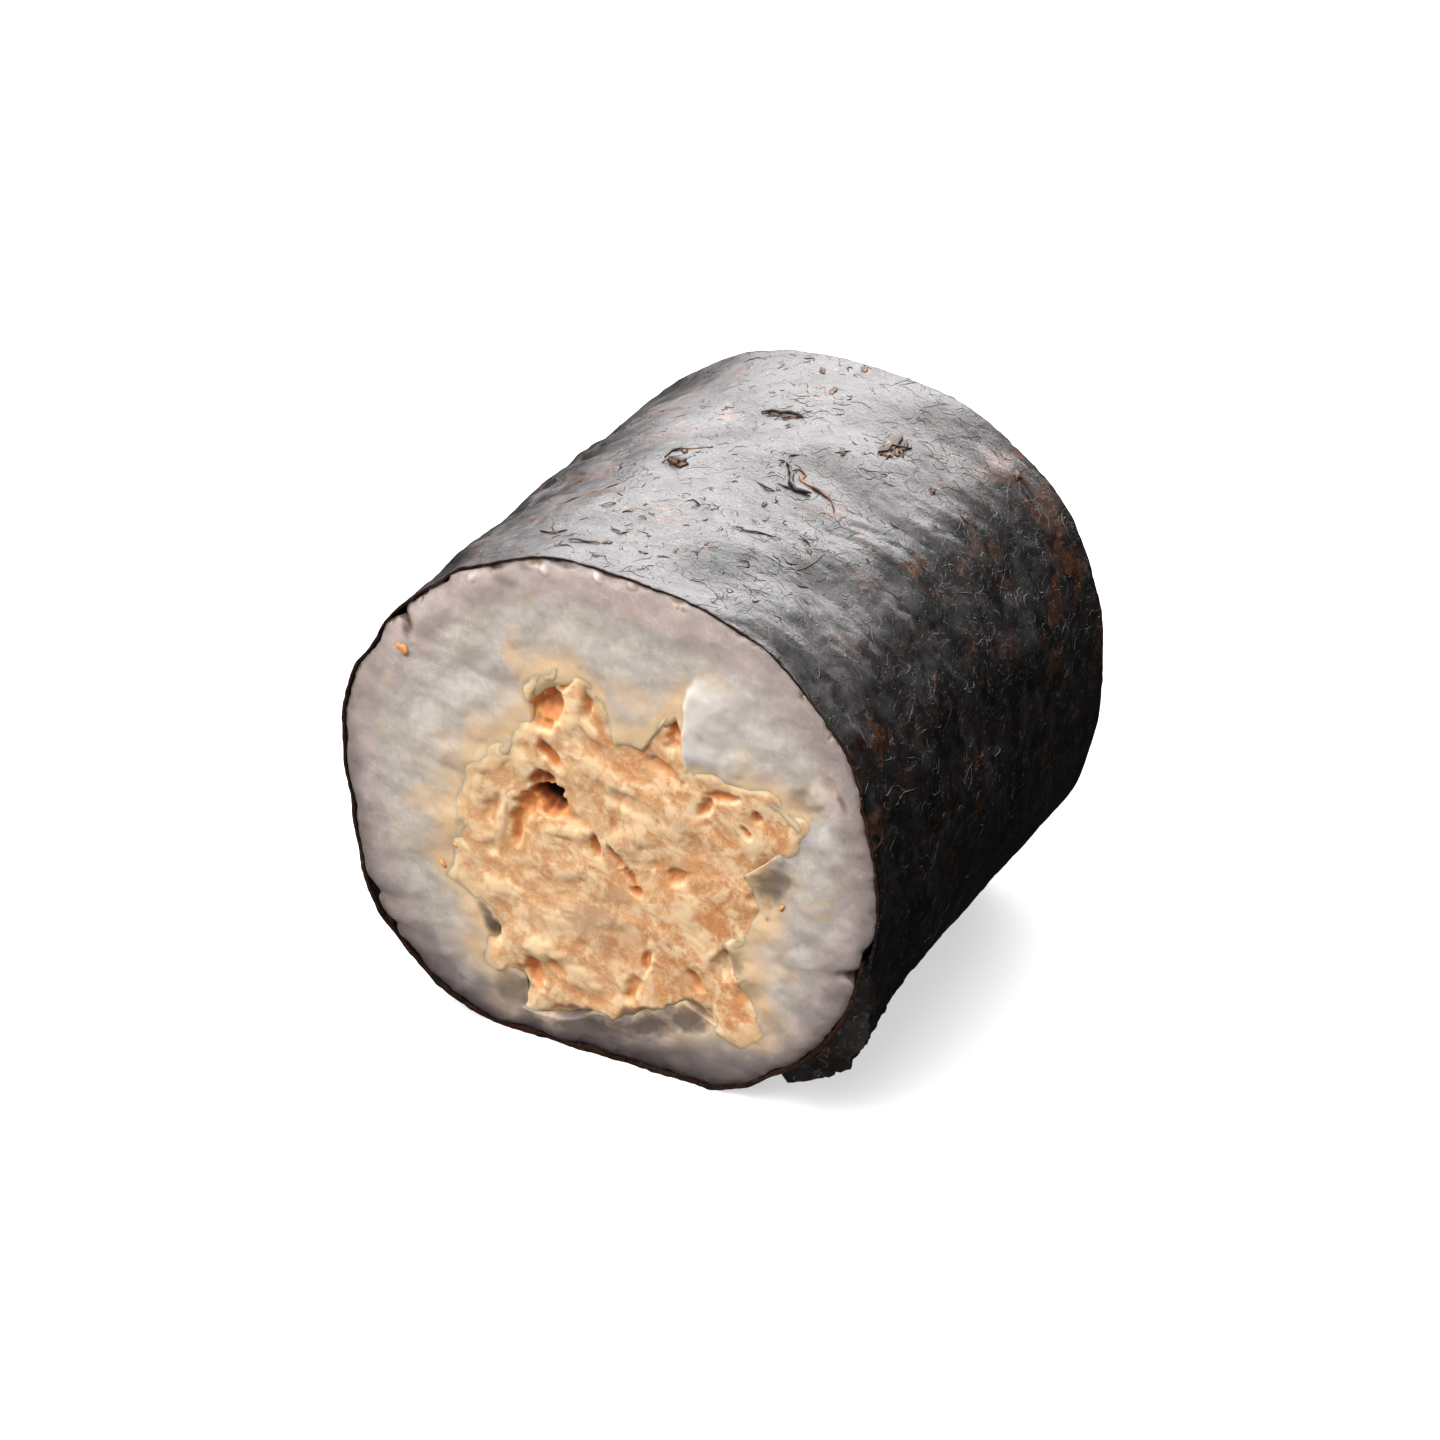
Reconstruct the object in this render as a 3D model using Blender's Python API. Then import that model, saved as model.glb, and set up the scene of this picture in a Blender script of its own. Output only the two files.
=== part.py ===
"""One cut piece of rolled sushi, lying on its side: nori around sushi rice, around cooked tuna.

The roll's axis runs along Y, with the cut face of the photograph at -Y. The origin is on the surface that
the piece lies on, under the middle of the roll. Everything is in metres, and every angle is in degrees,
counted from +X towards +Z as seen from the -Y end.
"""

import math
import random

import bmesh
import bpy
from mathutils import Vector, geometry, kdtree, noise

# Driving dimensions
ROLL_WIDTH = 0.0300
ROLL_HEIGHT = 0.0282
ROLL_LENGTH = 0.0255
NORI_THICKNESS = 0.00035
CLEARANCE = 0.0003
RICE_GRAIN_LENGTH = 0.0054
RICE_GRAIN_WIDTH = 0.0027

# The roll's outline is a superellipse whose corners are squarer below, where the piece has sagged
SAG = 0.00035
CORNER_SQUARENESS = {45: 2.3, 135: 2.0, 225: 3.0, 315: 2.5}
HALF_WIDTH = ROLL_WIDTH / 2
HALF_HEIGHT = (ROLL_HEIGHT + SAG) / 2
ROLL_AXIS_HEIGHT = ROLL_HEIGHT - HALF_HEIGHT
CUT_Y = ROLL_LENGTH / 2

# The grains push the nori out in low swells
SWELL_SIZE = 0.0042
SWELL_HEIGHT = 0.0004

# The sheet starts under itself on the right, goes once round and laps over its start at the lower right
SHEET_START = -15
LAP = 36
LAYER_GAP = 0.00008
LAYER_RAMP = 8
FLAP_LIFT = 0.0006
FLAP_DEPTH = 0.006

# The filling has pushed out between the grains in lobes: angle, reach and width of each, seen at the cut face
FILLING_CENTRE_X = 0.0003
FILLING_CENTRE_HEIGHT = 0.0110
FILLING_RADIUS = 0.0084
FILLING_LOBES = [
    (107, 0.0027, 10),
    (70, 0.0022, 5),
    (32, 0.0040, 10),
    (-18, -0.0009, 8),
    (-42, 0.0026, 8),
    (-114, 0.0030, 10),
    (-137, 0.0013, 6),
    (-165, 0.0018, 8),
]
RICE_LEAST = 0.0008

# Relief of the filling's cut faces: crags of flaked fish, and hollows where flakes have come away
CRAG_SIZE = 0.0021
CRAG_HEIGHT = 0.0009
CRAG_SINK = 0.3
HOLLOW_FLOOR = 0.4
HOLLOW_RIM = 1.4
FRONT_HOLLOWS = [
    (-0.0035, 0.0149, 0.0014, 0.0026),
    (-0.0034, 0.0197, 0.0015, 0.0016),
    (-0.0053, 0.0118, 0.0011, 0.0012),
    (0.0008, 0.0060, 0.0021, 0.0010),
    (0.0040, 0.0200, 0.0012, 0.0014),
]
BACK_HOLLOWS = [
    (0.0031, 0.0142, 0.0015, 0.0022),
    (-0.0042, 0.0088, 0.0017, 0.0014),
    (0.0012, 0.0182, 0.0012, 0.0016),
]

# How finely the pieces are divided, and how many sides the filling's lobes turn by from end to end
SIDES = 80
SIDE_TURN = 360 / SIDES
LENGTH_STEPS = 10
FILLING_STEPS = 4
FILLING_TWIST_SIDES = 6
CRAG_NET = 0.00092
FLOOR_POINTS = 6
RIM_POINTS = 10
SMOOTH_ANGLE = 50

# The grains that show at each cut face: their relative sizes, and how steeply they run into the roll
GRAIN_SEED = 7
GRAINS_PER_FACE = 58
GRAIN_TRIES = 120
GRAIN_SIDES = 6
GRAIN_RINGS = 4
GRAIN_SIZES = (0.62, 1.05)
GRAIN_LEAST_WIDTH = 0.4
GRAIN_SLOPES = (0.1, 0.25, 2.5)
GRAIN_REACH = (0.12, 0.96)
GRAIN_LEVELS = (-0.00012, 0.00012)
GRAIN_SUNK = 0.35
CORE_SET_BACK = 0.0005


def smooth_step(value):
    value = min(1.0, max(0.0, value))
    return value * value * (3 - 2 * value)


def turn_between(first, second):
    """The turn from the second angle to the first, from -180 to 180 degrees."""
    return (first - second + 180) % 360 - 180


def squareness(angle):
    """The superellipse's exponent, which turns smoothly from one corner's to the next."""
    corner = 45 + 90 * math.floor((angle - 45) / 90)
    share = smooth_step((angle - corner) / 90)
    here = CORNER_SQUARENESS[corner % 360]
    following = CORNER_SQUARENESS[(corner + 90) % 360]
    return here + (following - here) * share


def outline_radius(angle, y):
    """Distance from the roll's axis to the nori's outer surface, with its swells."""
    power = squareness(angle)
    turn = math.radians(angle)
    across = abs(math.cos(turn)) / HALF_WIDTH
    upward = abs(math.sin(turn)) / HALF_HEIGHT
    radius = (across**power + upward**power) ** (-1 / power)
    place = Vector((radius * math.cos(turn), y, radius * math.sin(turn)))
    return radius + SWELL_HEIGHT * noise.noise(place / SWELL_SIZE)


def around_axis(angle, radius, y, lowest):
    """A point at that angle and radius from the roll's axis, but no lower than the given height."""
    turn = math.radians(angle)
    height = ROLL_AXIS_HEIGHT + radius * math.sin(turn)
    return Vector((radius * math.cos(turn), y, max(height, lowest)))


def lap_depth(angle):
    """How far the sheet's start, and the rice under it, are pressed in by the end that lies over them."""
    past_start = turn_between(SHEET_START, angle)
    ramp_in = smooth_step((past_start + LAYER_RAMP) / LAYER_RAMP)
    ramp_out = smooth_step((past_start - LAP) / LAYER_RAMP)
    return (NORI_THICKNESS + LAYER_GAP) * ramp_in * (1 - ramp_out)


def flap_lift(along, y):
    """How far the sheet's loose end stands off, most at the corner by the cut face."""
    towards_end = smooth_step((along - 360) / LAP)
    towards_cut = math.exp(-(y + CUT_Y) / FLAP_DEPTH)
    return FLAP_LIFT * towards_end * towards_cut


def sheet_radius(along, y):
    """Distance from the roll's axis to the sheet's outer side, at a turn along the sheet from its start."""
    angle = SHEET_START - along
    radius = outline_radius(angle, y)
    if along < 180:
        return radius - lap_depth(angle)
    return radius + flap_lift(along, y)


def sheet_section(y):
    """The sheet's cross-section: its outer side from start to end, then its inner side back to the start."""
    turns = [SIDE_TURN * step for step in range(round((360 + LAP) / SIDE_TURN) + 1)]
    outer = [around_axis(SHEET_START - turn, sheet_radius(turn, y), y, 0) for turn in turns]
    inner = []
    for turn in reversed(turns):
        radius = sheet_radius(turn, y) - NORI_THICKNESS
        inner.append(around_axis(SHEET_START - turn, radius, y, NORI_THICKNESS))
    return outer + inner


def rice_outside(angle, y):
    """A point of the rice's outer surface, which keeps clear of the nori."""
    inset = NORI_THICKNESS + CLEARANCE
    radius = outline_radius(angle, y) - lap_depth(angle) - inset
    return around_axis(angle, radius, y, inset)


def rice_edge(y):
    return [rice_outside(side * SIDE_TURN, y) for side in range(SIDES)]


def filling_corner(side, y):
    """A corner of the filling's outline, whose lobes turn along the roll, held inside the rice."""
    radius = FILLING_RADIUS
    for lobe, reach, width in FILLING_LOBES:
        radius += reach * math.exp(-((turn_between(side * SIDE_TURN, lobe) / width) ** 2))
    turned_sides = side - FILLING_TWIST_SIDES * (y + CUT_Y) / ROLL_LENGTH
    turn = math.radians(turned_sides * SIDE_TURN)
    x = FILLING_CENTRE_X + radius * math.cos(turn)
    height = FILLING_CENTRE_HEIGHT + radius * math.sin(turn) - ROLL_AXIS_HEIGHT
    bearing = math.degrees(math.atan2(height, x))
    inset = NORI_THICKNESS + 2 * CLEARANCE + RICE_LEAST
    limit = outline_radius(bearing, y) - lap_depth(bearing) - inset
    return around_axis(bearing, min(math.hypot(x, height), limit), y, inset)


def filling_edge(y):
    return [filling_corner(side, y) for side in range(SIDES)]


def rice_hole(y):
    """The rice's inner surface: the filling's outline moved outwards by the clearance."""
    corners = filling_edge(y)
    moved = []
    for side, corner in enumerate(corners):
        along = corners[(side + 1) % SIDES] - corners[side - 1]
        moved.append(corner + Vector((along.z, 0, -along.x)).normalized() * CLEARANCE)
    return moved


def crag_relief(place, hollows, from_edge):
    """How far the filling's cut face stands out at a place, with its hollows taken in away from its edge."""
    relief = CRAG_HEIGHT * (noise.noise(place / CRAG_SIZE) - CRAG_SINK)
    for x, height, radius, depth in hollows:
        distance = math.hypot(place.x - x, place.z - height) / radius
        wall = smooth_step((distance - HOLLOW_FLOOR) / (HOLLOW_RIM - HOLLOW_FLOOR))
        relief -= depth * (1 - wall) * smooth_step(from_edge / CRAG_NET)
    return relief


def join_loops(mesh, first, second):
    """A band of four-sided faces between two closed loops of corners."""
    for side in range(len(first)):
        mesh.faces.new((first[side - 1], first[side], second[side], second[side - 1]))


def add_tube(mesh, outline_at, steps):
    """A tube along the roll through an outline at each step, and the corners of its first and last loop."""
    loops = []
    for step in range(steps + 1):
        y = -CUT_Y + ROLL_LENGTH * step / steps
        loops.append([mesh.verts.new(point) for point in outline_at(y)])
    for near, far in zip(loops, loops[1:]):
        join_loops(mesh, near, far)
    return loops[0], loops[-1]


def within(outline, x, height):
    """True if a point lies inside a closed outline: a line to its right crosses an odd number of sides."""
    inside = False
    for first, second in zip(outline, outline[1:] + outline[:1]):
        if (first.y > height) != (second.y > height):
            crossing = first.x + (height - first.y) * (second.x - first.x) / (second.y - first.y)
            if crossing > x:
                inside = not inside
    return inside


def hollow_rings(hollows):
    """A point in the middle of each hollow, and points round its floor and its rim."""
    points = []
    for x, height, radius, _ in hollows:
        points.append(Vector((x, height)))
        for share, count in ((HOLLOW_FLOOR, FLOOR_POINTS), (HOLLOW_RIM, RIM_POINTS)):
            for step in range(count):
                turn = 2 * math.pi * step / count
                around = Vector((math.cos(turn), math.sin(turn)))
                points.append(Vector((x, height)) + around * share * radius)
    return points


def even_net():
    """Points of an even net of triangles over the roll's whole width and height."""
    row_height = CRAG_NET * math.sqrt(3) / 2
    points = []
    for row in range(round(ROLL_HEIGHT / row_height)):
        for column in range(round(ROLL_WIDTH / CRAG_NET)):
            x = -HALF_WIDTH + (column + (row % 2) / 2) * CRAG_NET
            points.append(Vector((x, row * row_height)))
    return points


def cap_with_crags(mesh, loop, outward, hollows):
    """Closes a loop with triangles over a net of points, each raised by the relief."""
    outline = [Vector((corner.co.x, corner.co.z)) for corner in loop]
    points = list(outline)
    for point in hollow_rings(hollows) + even_net():
        roomy = all((point - other).length > CRAG_NET / 2 for other in points)
        if roomy and within(outline, point.x, point.y):
            points.append(point)
    border = list(range(len(outline)))
    flat, _, triangles, *_ = geometry.delaunay_2d_cdt(points, [], [border], 1, CRAG_NET / 1000)
    corners = list(loop)
    for point in flat[len(outline):]:
        corners.append(mesh.verts.new((point.x, outward * CUT_Y, point.y)))
    for corner in corners:
        from_edge = min((Vector((corner.co.x, corner.co.z)) - other).length for other in outline)
        corner.co.y += outward * crag_relief(corner.co, hollows, from_edge)
    for triangle in triangles:
        mesh.faces.new([corners[index] for index in triangle])


def plain_material(name, colour, roughness):
    material = bpy.data.materials.new(name)
    material.use_nodes = True
    shader = material.node_tree.nodes["Principled BSDF"]
    shader.inputs["Base Color"].default_value = (*colour, 1)
    shader.inputs["Roughness"].default_value = roughness
    shader.inputs["Metallic"].default_value = 0
    material.diffuse_color = (*colour, 1)
    return material


def make_object(name, mesh, material, collection):
    """Turns a bmesh into an object with outward faces and smooth shading."""
    mesh.normal_update()
    bmesh.ops.recalc_face_normals(mesh, faces=mesh.faces)
    bmesh.ops.triangulate(mesh, faces=mesh.faces)
    data = bpy.data.meshes.new(name)
    mesh.to_mesh(data)
    mesh.free()
    data.materials.append(material)
    data.shade_smooth()
    data.set_sharp_from_angle(angle=math.radians(SMOOTH_ANGLE))
    made = bpy.data.objects.new(name, data)
    collection.objects.link(made)
    return made


def make_nori(collection):
    """The toasted seaweed: one thin sheet rolled once round the rice, with its end lapped over its start."""
    mesh = bmesh.new()
    for loop in add_tube(mesh, sheet_section, LENGTH_STEPS):
        last = len(loop) - 1
        for step in range(len(loop) // 2 - 1):
            mesh.faces.new((loop[step], loop[step + 1], loop[last - step - 1], loop[last - step]))
    material = plain_material("toasted_nori", (0.022, 0.019, 0.017), 0.35)
    return make_object("nori", mesh, material, collection)


def make_filling(collection):
    """The cooked tuna: a lobed column with craggy cut faces."""
    mesh = bmesh.new()
    ends = add_tube(mesh, filling_edge, FILLING_STEPS)
    for loop, outward, hollows in zip(ends, (-1, 1), (FRONT_HOLLOWS, BACK_HOLLOWS)):
        cap_with_crags(mesh, loop, outward, hollows)
    material = plain_material("cooked_tuna", (0.80, 0.50, 0.27), 0.5)
    return make_object("tuna_filling", mesh, material, collection)


def make_rice_core(material, collection):
    """The packed rice between nori and filling, a little shorter than the roll so that the grains stand out."""
    mesh = bmesh.new()
    outer = add_tube(mesh, rice_edge, LENGTH_STEPS)
    inner = add_tube(mesh, rice_hole, FILLING_STEPS)
    for outer_loop, inner_loop, outward, turned in zip(outer, inner, (-1, 1), (0, FILLING_TWIST_SIDES)):
        for corner in outer_loop + inner_loop:
            corner.co.y = outward * (CUT_Y - CORE_SET_BACK)
        join_loops(mesh, outer_loop, inner_loop[turned:] + inner_loop[:turned])
    return make_object("rice", mesh, material, collection)


def draw_grain(size, outward, draw):
    """Middle, axis, length, width and cut level of a grain at a random place between filling and nori."""
    edge = rice_outside(draw.uniform(0, 360), outward * CUT_Y)
    share = math.sqrt(draw.uniform(*GRAIN_REACH))
    middle = Vector((edge.x, 0, edge.z - ROLL_AXIS_HEIGHT)) * share
    middle.z += ROLL_AXIS_HEIGHT
    turn = draw.uniform(0, math.pi)
    axis = Vector((math.cos(turn), draw.choice(GRAIN_SLOPES), math.sin(turn))).normalized()
    length = RICE_GRAIN_LENGTH * size
    width = RICE_GRAIN_WIDTH * (GRAIN_LEAST_WIDTH + (1 - GRAIN_LEAST_WIDTH) * size)
    level = CUT_Y + draw.uniform(*GRAIN_LEVELS)
    middle.y = outward * (level - GRAIN_SUNK * math.hypot(length * axis.y, width * (1 - axis.y)))
    return middle, axis, length, width, level


def grain_shape(grain):
    """A grain's mesh: a low ellipsoid, cut off flat where the knife went through."""
    middle, axis, length, width, level = grain
    mesh = bmesh.new()
    bmesh.ops.create_uvsphere(mesh, u_segments=GRAIN_SIDES, v_segments=GRAIN_RINGS, radius=0.5)
    turn = axis.to_track_quat("Z", "Y").to_matrix()
    outward = math.copysign(1, middle.y)
    for corner in mesh.verts:
        sized = Vector((corner.co.x * width, corner.co.y * width, corner.co.z * length))
        corner.co = middle + turn @ sized
        if corner.co.y * outward > level:
            corner.co.y = level * outward
    return mesh


def grain_fits(mesh, hole, hole_tree):
    """True if all of a grain lies in the rice's own space."""
    for corner in mesh.verts:
        place = corner.co
        height = place.z - ROLL_AXIS_HEIGHT
        edge = rice_outside(math.degrees(math.atan2(height, place.x)), place.y)
        too_far_out = math.hypot(place.x, height) > math.hypot(edge.x, edge.z - ROLL_AXIS_HEIGHT)
        too_low = place.z < NORI_THICKNESS + CLEARANCE
        too_near = hole_tree.find((place.x, place.z, 0))[2] < CLEARANCE
        if too_far_out or too_low or too_near or within(hole, place.x, place.z):
            return False
    return True


def add_grains(outward, draw, material, collection):
    """Grains at one cut face, the largest first, each at the roomiest of the places drawn for it."""
    hole = [Vector((point.x, point.z)) for point in rice_hole(outward * CUT_Y)]
    tree = kdtree.KDTree(len(hole))
    for index, corner in enumerate(hole):
        tree.insert((corner.x, corner.y, 0), index)
    tree.balance()
    sizes = sorted((draw.uniform(*GRAIN_SIZES) for _ in range(GRAINS_PER_FACE)), reverse=True)
    middles = []
    for number, size in enumerate(sizes):
        roomiest = None
        most_room = 0
        for _ in range(GRAIN_TRIES):
            grain = draw_grain(size, outward, draw)
            room = min(((grain[0] - middle).length for middle in middles), default=ROLL_WIDTH)
            if room <= most_room:
                continue
            mesh = grain_shape(grain)
            if grain_fits(mesh, hole, tree):
                roomiest = grain
                most_room = room
            mesh.free()
        if roomiest:
            middles.append(roomiest[0])
            make_object(f"grain_{outward}_{number}", grain_shape(roomiest), material, collection)


def keep_main_shell(data):
    """Keeps the largest connected surface, so that hollows sealed by fusing are filled and scraps are gone."""
    mesh = bmesh.new()
    mesh.from_mesh(data)
    waiting = set(mesh.faces)
    shells = []
    while waiting:
        shell = {waiting.pop()}
        unvisited = list(shell)
        while unvisited:
            for edge in unvisited.pop().edges:
                for face in edge.link_faces:
                    if face not in shell:
                        shell.add(face)
                        unvisited.append(face)
        waiting -= shell
        shells.append(shell)
    main_shell = max(shells, key=len)
    scraps = [face for shell in shells if shell is not main_shell for face in shell]
    bmesh.ops.delete(mesh, geom=scraps, context="FACES")
    mesh.to_mesh(data)
    mesh.free()


def make_rice(collection):
    """The sushi rice: a core with the grains that show at the cut faces fused on."""
    material = plain_material("sushi_rice", (0.72, 0.70, 0.65), 0.4)
    grains = bpy.data.collections.new("rice_grains")
    collection.children.link(grains)
    rice = make_rice_core(material, collection)
    draw = random.Random(GRAIN_SEED)
    for outward in (-1, 1):
        add_grains(outward, draw, material, grains)
    join = rice.modifiers.new("fuse_grains", "BOOLEAN")
    join.operation = "UNION"
    join.operand_type = "COLLECTION"
    join.collection = grains
    bpy.context.view_layer.objects.active = rice
    bpy.ops.object.modifier_apply(modifier=join.name)
    for grain in list(grains.objects):
        bpy.data.objects.remove(grain)
    bpy.data.collections.remove(grains)
    keep_main_shell(rice.data)
    return rice


def main():
    for leftover in list(bpy.data.objects):
        bpy.data.objects.remove(leftover)
    collection = bpy.context.scene.collection
    roll = bpy.data.objects.new("roll", None)
    collection.objects.link(roll)
    for piece in (make_nori(collection), make_rice(collection), make_filling(collection)):
        piece.parent = roll


main()
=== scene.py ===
import math
import random

import bpy
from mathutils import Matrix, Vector, kdtree, noise


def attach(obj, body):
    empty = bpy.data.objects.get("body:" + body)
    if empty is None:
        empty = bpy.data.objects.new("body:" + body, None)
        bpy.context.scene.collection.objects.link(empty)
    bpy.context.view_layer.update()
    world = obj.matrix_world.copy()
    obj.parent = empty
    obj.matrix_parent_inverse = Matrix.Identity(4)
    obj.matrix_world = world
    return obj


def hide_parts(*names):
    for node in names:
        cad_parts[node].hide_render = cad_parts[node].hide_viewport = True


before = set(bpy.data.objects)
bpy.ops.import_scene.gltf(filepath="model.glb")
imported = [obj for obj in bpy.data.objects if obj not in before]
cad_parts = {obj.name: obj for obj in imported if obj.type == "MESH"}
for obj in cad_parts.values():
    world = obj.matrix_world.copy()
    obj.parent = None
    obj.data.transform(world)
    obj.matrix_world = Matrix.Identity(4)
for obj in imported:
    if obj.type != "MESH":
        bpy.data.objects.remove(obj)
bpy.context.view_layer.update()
bpy.ops.object.select_all(action="DESELECT")


# The camera looks down on the cut face from its right front, through the long lens of a close food picture.
# The picture is square, so the lens alone sets how much of the floor shows round the piece.
CAMERA_AZIMUTH = math.radians(28.52)
CAMERA_ELEVATION = math.radians(30.55)
CAMERA_DISTANCE = 0.2627
CAMERA_LENS_MM = 128.35
LOOKED_AT = Vector((-0.00055, 0, 0.01309))

towards_camera = Vector((
    math.sin(CAMERA_AZIMUTH) * math.cos(CAMERA_ELEVATION),
    -math.cos(CAMERA_AZIMUTH) * math.cos(CAMERA_ELEVATION),
    math.sin(CAMERA_ELEVATION),
))
bpy.ops.object.camera_add(location=LOOKED_AT + towards_camera * CAMERA_DISTANCE)
camera = bpy.context.object
camera.rotation_euler = towards_camera.to_track_quat("Z", "Y").to_euler()
camera.data.lens = CAMERA_LENS_MM
camera.data.clip_start = 0.01
bpy.context.scene.camera = camera


# The piece lies on a plain white studio table, lit from below so that its shadow stays faint, and wide
# enough to reach past every view of it.
FLOOR_SIZE = 6.0
FLOOR_COLOUR = (0.55, 0.55, 0.55)
FLOOR_GLOW = 0.55


def new_material(name, colour, **sockets):
    """A material with its shader, whose constant values are set on the shader's own sockets."""
    made = bpy.data.materials.new(name)
    made.use_nodes = True
    shader = made.node_tree.nodes["Principled BSDF"]
    shader.inputs["Base Color"].default_value = (*colour, 1)
    for socket, value in sockets.items():
        shader.inputs[socket.replace("_", " ")].default_value = value
    return made, shader


bpy.ops.mesh.primitive_plane_add(size=FLOOR_SIZE)
floor = bpy.context.object
floor.name = "table"
floor_material, floor_shader = new_material("white_table", FLOOR_COLOUR, Roughness=0.9)
floor_shader.inputs["Emission Strength"].default_value = FLOOR_GLOW
floor_shader.inputs["Emission Color"].default_value = (1, 1, 1, 1)
floor.data.materials.append(floor_material)
floor.visible_glossy = False
floor.visible_diffuse = False


# The light comes from one broad softbox low behind the piece, which lies as a pale sheen along the top of
# the nori, from a second one overhead, and from a third at the upper left front, which lights the cut face.
# Each has its place, its width and height, its power and its colour.
SOFTBOXES = {
    "softbox_behind": ((-0.17, 0.47, 0.31), (0.62, 0.38), 5.3, (1.0, 0.97, 0.98)),
    "softbox_above": ((-0.08, -0.10, 0.60), (0.60, 0.60), 3.6, (1.0, 0.98, 0.96)),
    "softbox_front": ((-0.22, -0.44, 0.44), (0.60, 0.60), 4.8, (1.0, 0.98, 0.96)),
}
SKY_LOW = (0.012, 0.012, 0.012, 1)
SKY_HIGH = (0.56, 0.56, 0.57, 1)
SKY_RISE = 0.62
SKY_FROM_FRONT = 0.25


def add_node(tree, kind, inputs=(), **settings):
    """A node with its settings, whose inputs are values, colours or other nodes' outputs."""
    made = tree.nodes.new(kind)
    for name, value in settings.items():
        setattr(made, name, value)
    for key, value in dict(inputs).items():
        if isinstance(value, bpy.types.NodeSocket):
            tree.links.new(value, made.inputs[key])
        else:
            made.inputs[key].default_value = (*value, 1) if isinstance(value, tuple) else value
    return made


for name, (place, size, power, colour) in SOFTBOXES.items():
    bpy.ops.object.light_add(type="AREA", location=place)
    lamp = bpy.context.object
    lamp.name = name
    lamp.rotation_euler = (Vector(place) - LOOKED_AT).to_track_quat("Z", "Y").to_euler()
    lamp.data.shape = "RECTANGLE"
    lamp.data.size, lamp.data.size_y = size
    lamp.data.energy = power
    lamp.data.color = colour

world = bpy.data.worlds.new("studio")
bpy.context.scene.world = world
world.use_nodes = True
sky = world.node_tree
sky_place = add_node(sky, "ShaderNodeTexCoord").outputs["Generated"]
sky_axes = add_node(sky, "ShaderNodeSeparateXYZ", {0: sky_place}).outputs
sky_inputs = {0: sky_axes["Y"], 1: -SKY_FROM_FRONT, 2: sky_axes["Z"]}
sky_level = add_node(sky, "ShaderNodeMath", sky_inputs, operation="MULTIPLY_ADD").outputs[0]
sky_ramp = add_node(sky, "ShaderNodeValToRGB", {"Fac": sky_level})
for stop, position, colour in zip(sky_ramp.color_ramp.elements, (0.0, SKY_RISE), (SKY_LOW, SKY_HIGH)):
    stop.position = position
    stop.color = colour
sky.links.new(sky_ramp.outputs["Color"], sky.nodes["Background"].inputs["Color"])
bpy.context.scene.view_settings.view_transform = "Standard"


# The nori is one sheet of toasted seaweed, rolled once round the rice with its end lapped over its start at
# the lower right. It is thin and papery: the grains under it push it out in low swells, it is creased where
# it turns down the sides, and its damp end has thickened into a ragged lip at the cut.
MM = 0.001
ROLL_WIDTH = 0.0300
ROLL_HEIGHT = 0.0282
ROLL_LENGTH = 0.0255
SAG = 0.00035
CORNER_SQUARENESS = {45: 2.3, 135: 2.0, 225: 3.0, 315: 2.5}
HALF_WIDTH = ROLL_WIDTH / 2
HALF_HEIGHT = (ROLL_HEIGHT + SAG) / 2
ROLL_AXIS_HEIGHT = ROLL_HEIGHT - HALF_HEIGHT
CUT_Y = ROLL_LENGTH / 2
SWELL_SIZE = 0.0042
SWELL_HEIGHT = 0.0004
SHEET_START = -15
LAP = 36
LAYER_DEPTH = 0.00043
LAYER_RAMP = 8
FLAP_LIFT = 0.0010
FLAP_DEPTH = 0.005
FLAP_RAGGED = 0.00030
NORI_THICKNESS = 0.00017
NORI_THICKNESS_CHANGE = 0.00010
NORI_THINNED = 0.28
NORI_INNER_THICKNESS = 0.00030
NORI_STEPS_ROUND = 560
NORI_ROWS_OUTSIDE = 140
NORI_ROWS_INSIDE = 24
NORI_ROWS = NORI_ROWS_OUTSIDE + NORI_ROWS_INSIDE + 2
CREASED_ANGLES = [(38, 24, 1.0), (140, 22, 0.9), (0, 40, 0.4), (225, 50, 0.6)]
CREASED_LEAST = 0.10
CALM_BACK_FROM = 0.004
CALM_BACK_REACH = 0.005
SLANT = 0.06
DENT_SIZE = 0.0022
DENT_DEPTH = 0.00010
WRINKLE_BEND = 0.0010
WRINKLE_BEND_SIZE = 0.0045
WRINKLE_LONG = 0.0042
WRINKLE_SHORT = 0.0013
WRINKLE_HEIGHT = 0.00021
FOLD_LONG = 0.0030
FOLD_SHORT = 0.0008
FOLD_DEPTH = 0.00006
FOLD_SHARPNESS = 0.15
PUCKER_SIZE = 0.0008
PUCKER_HEIGHT = 0.000032
EDGE_WAVE = 0.00012
EDGE_REACH = 0.0012
MERGED_WITHIN = 0.0000001
TOASTED_SIZE = 0.0034
TOASTED_LEAST = 0.34
NOISE_SEED = 2

noise.seed_set(NOISE_SEED)


def metres(rows, *lengths):
    """The rows of a table, with the columns that are lengths turned from millimetres into metres."""
    return [tuple(v * MM if k in lengths else v for k, v in enumerate(row)) for row in rows]


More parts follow.
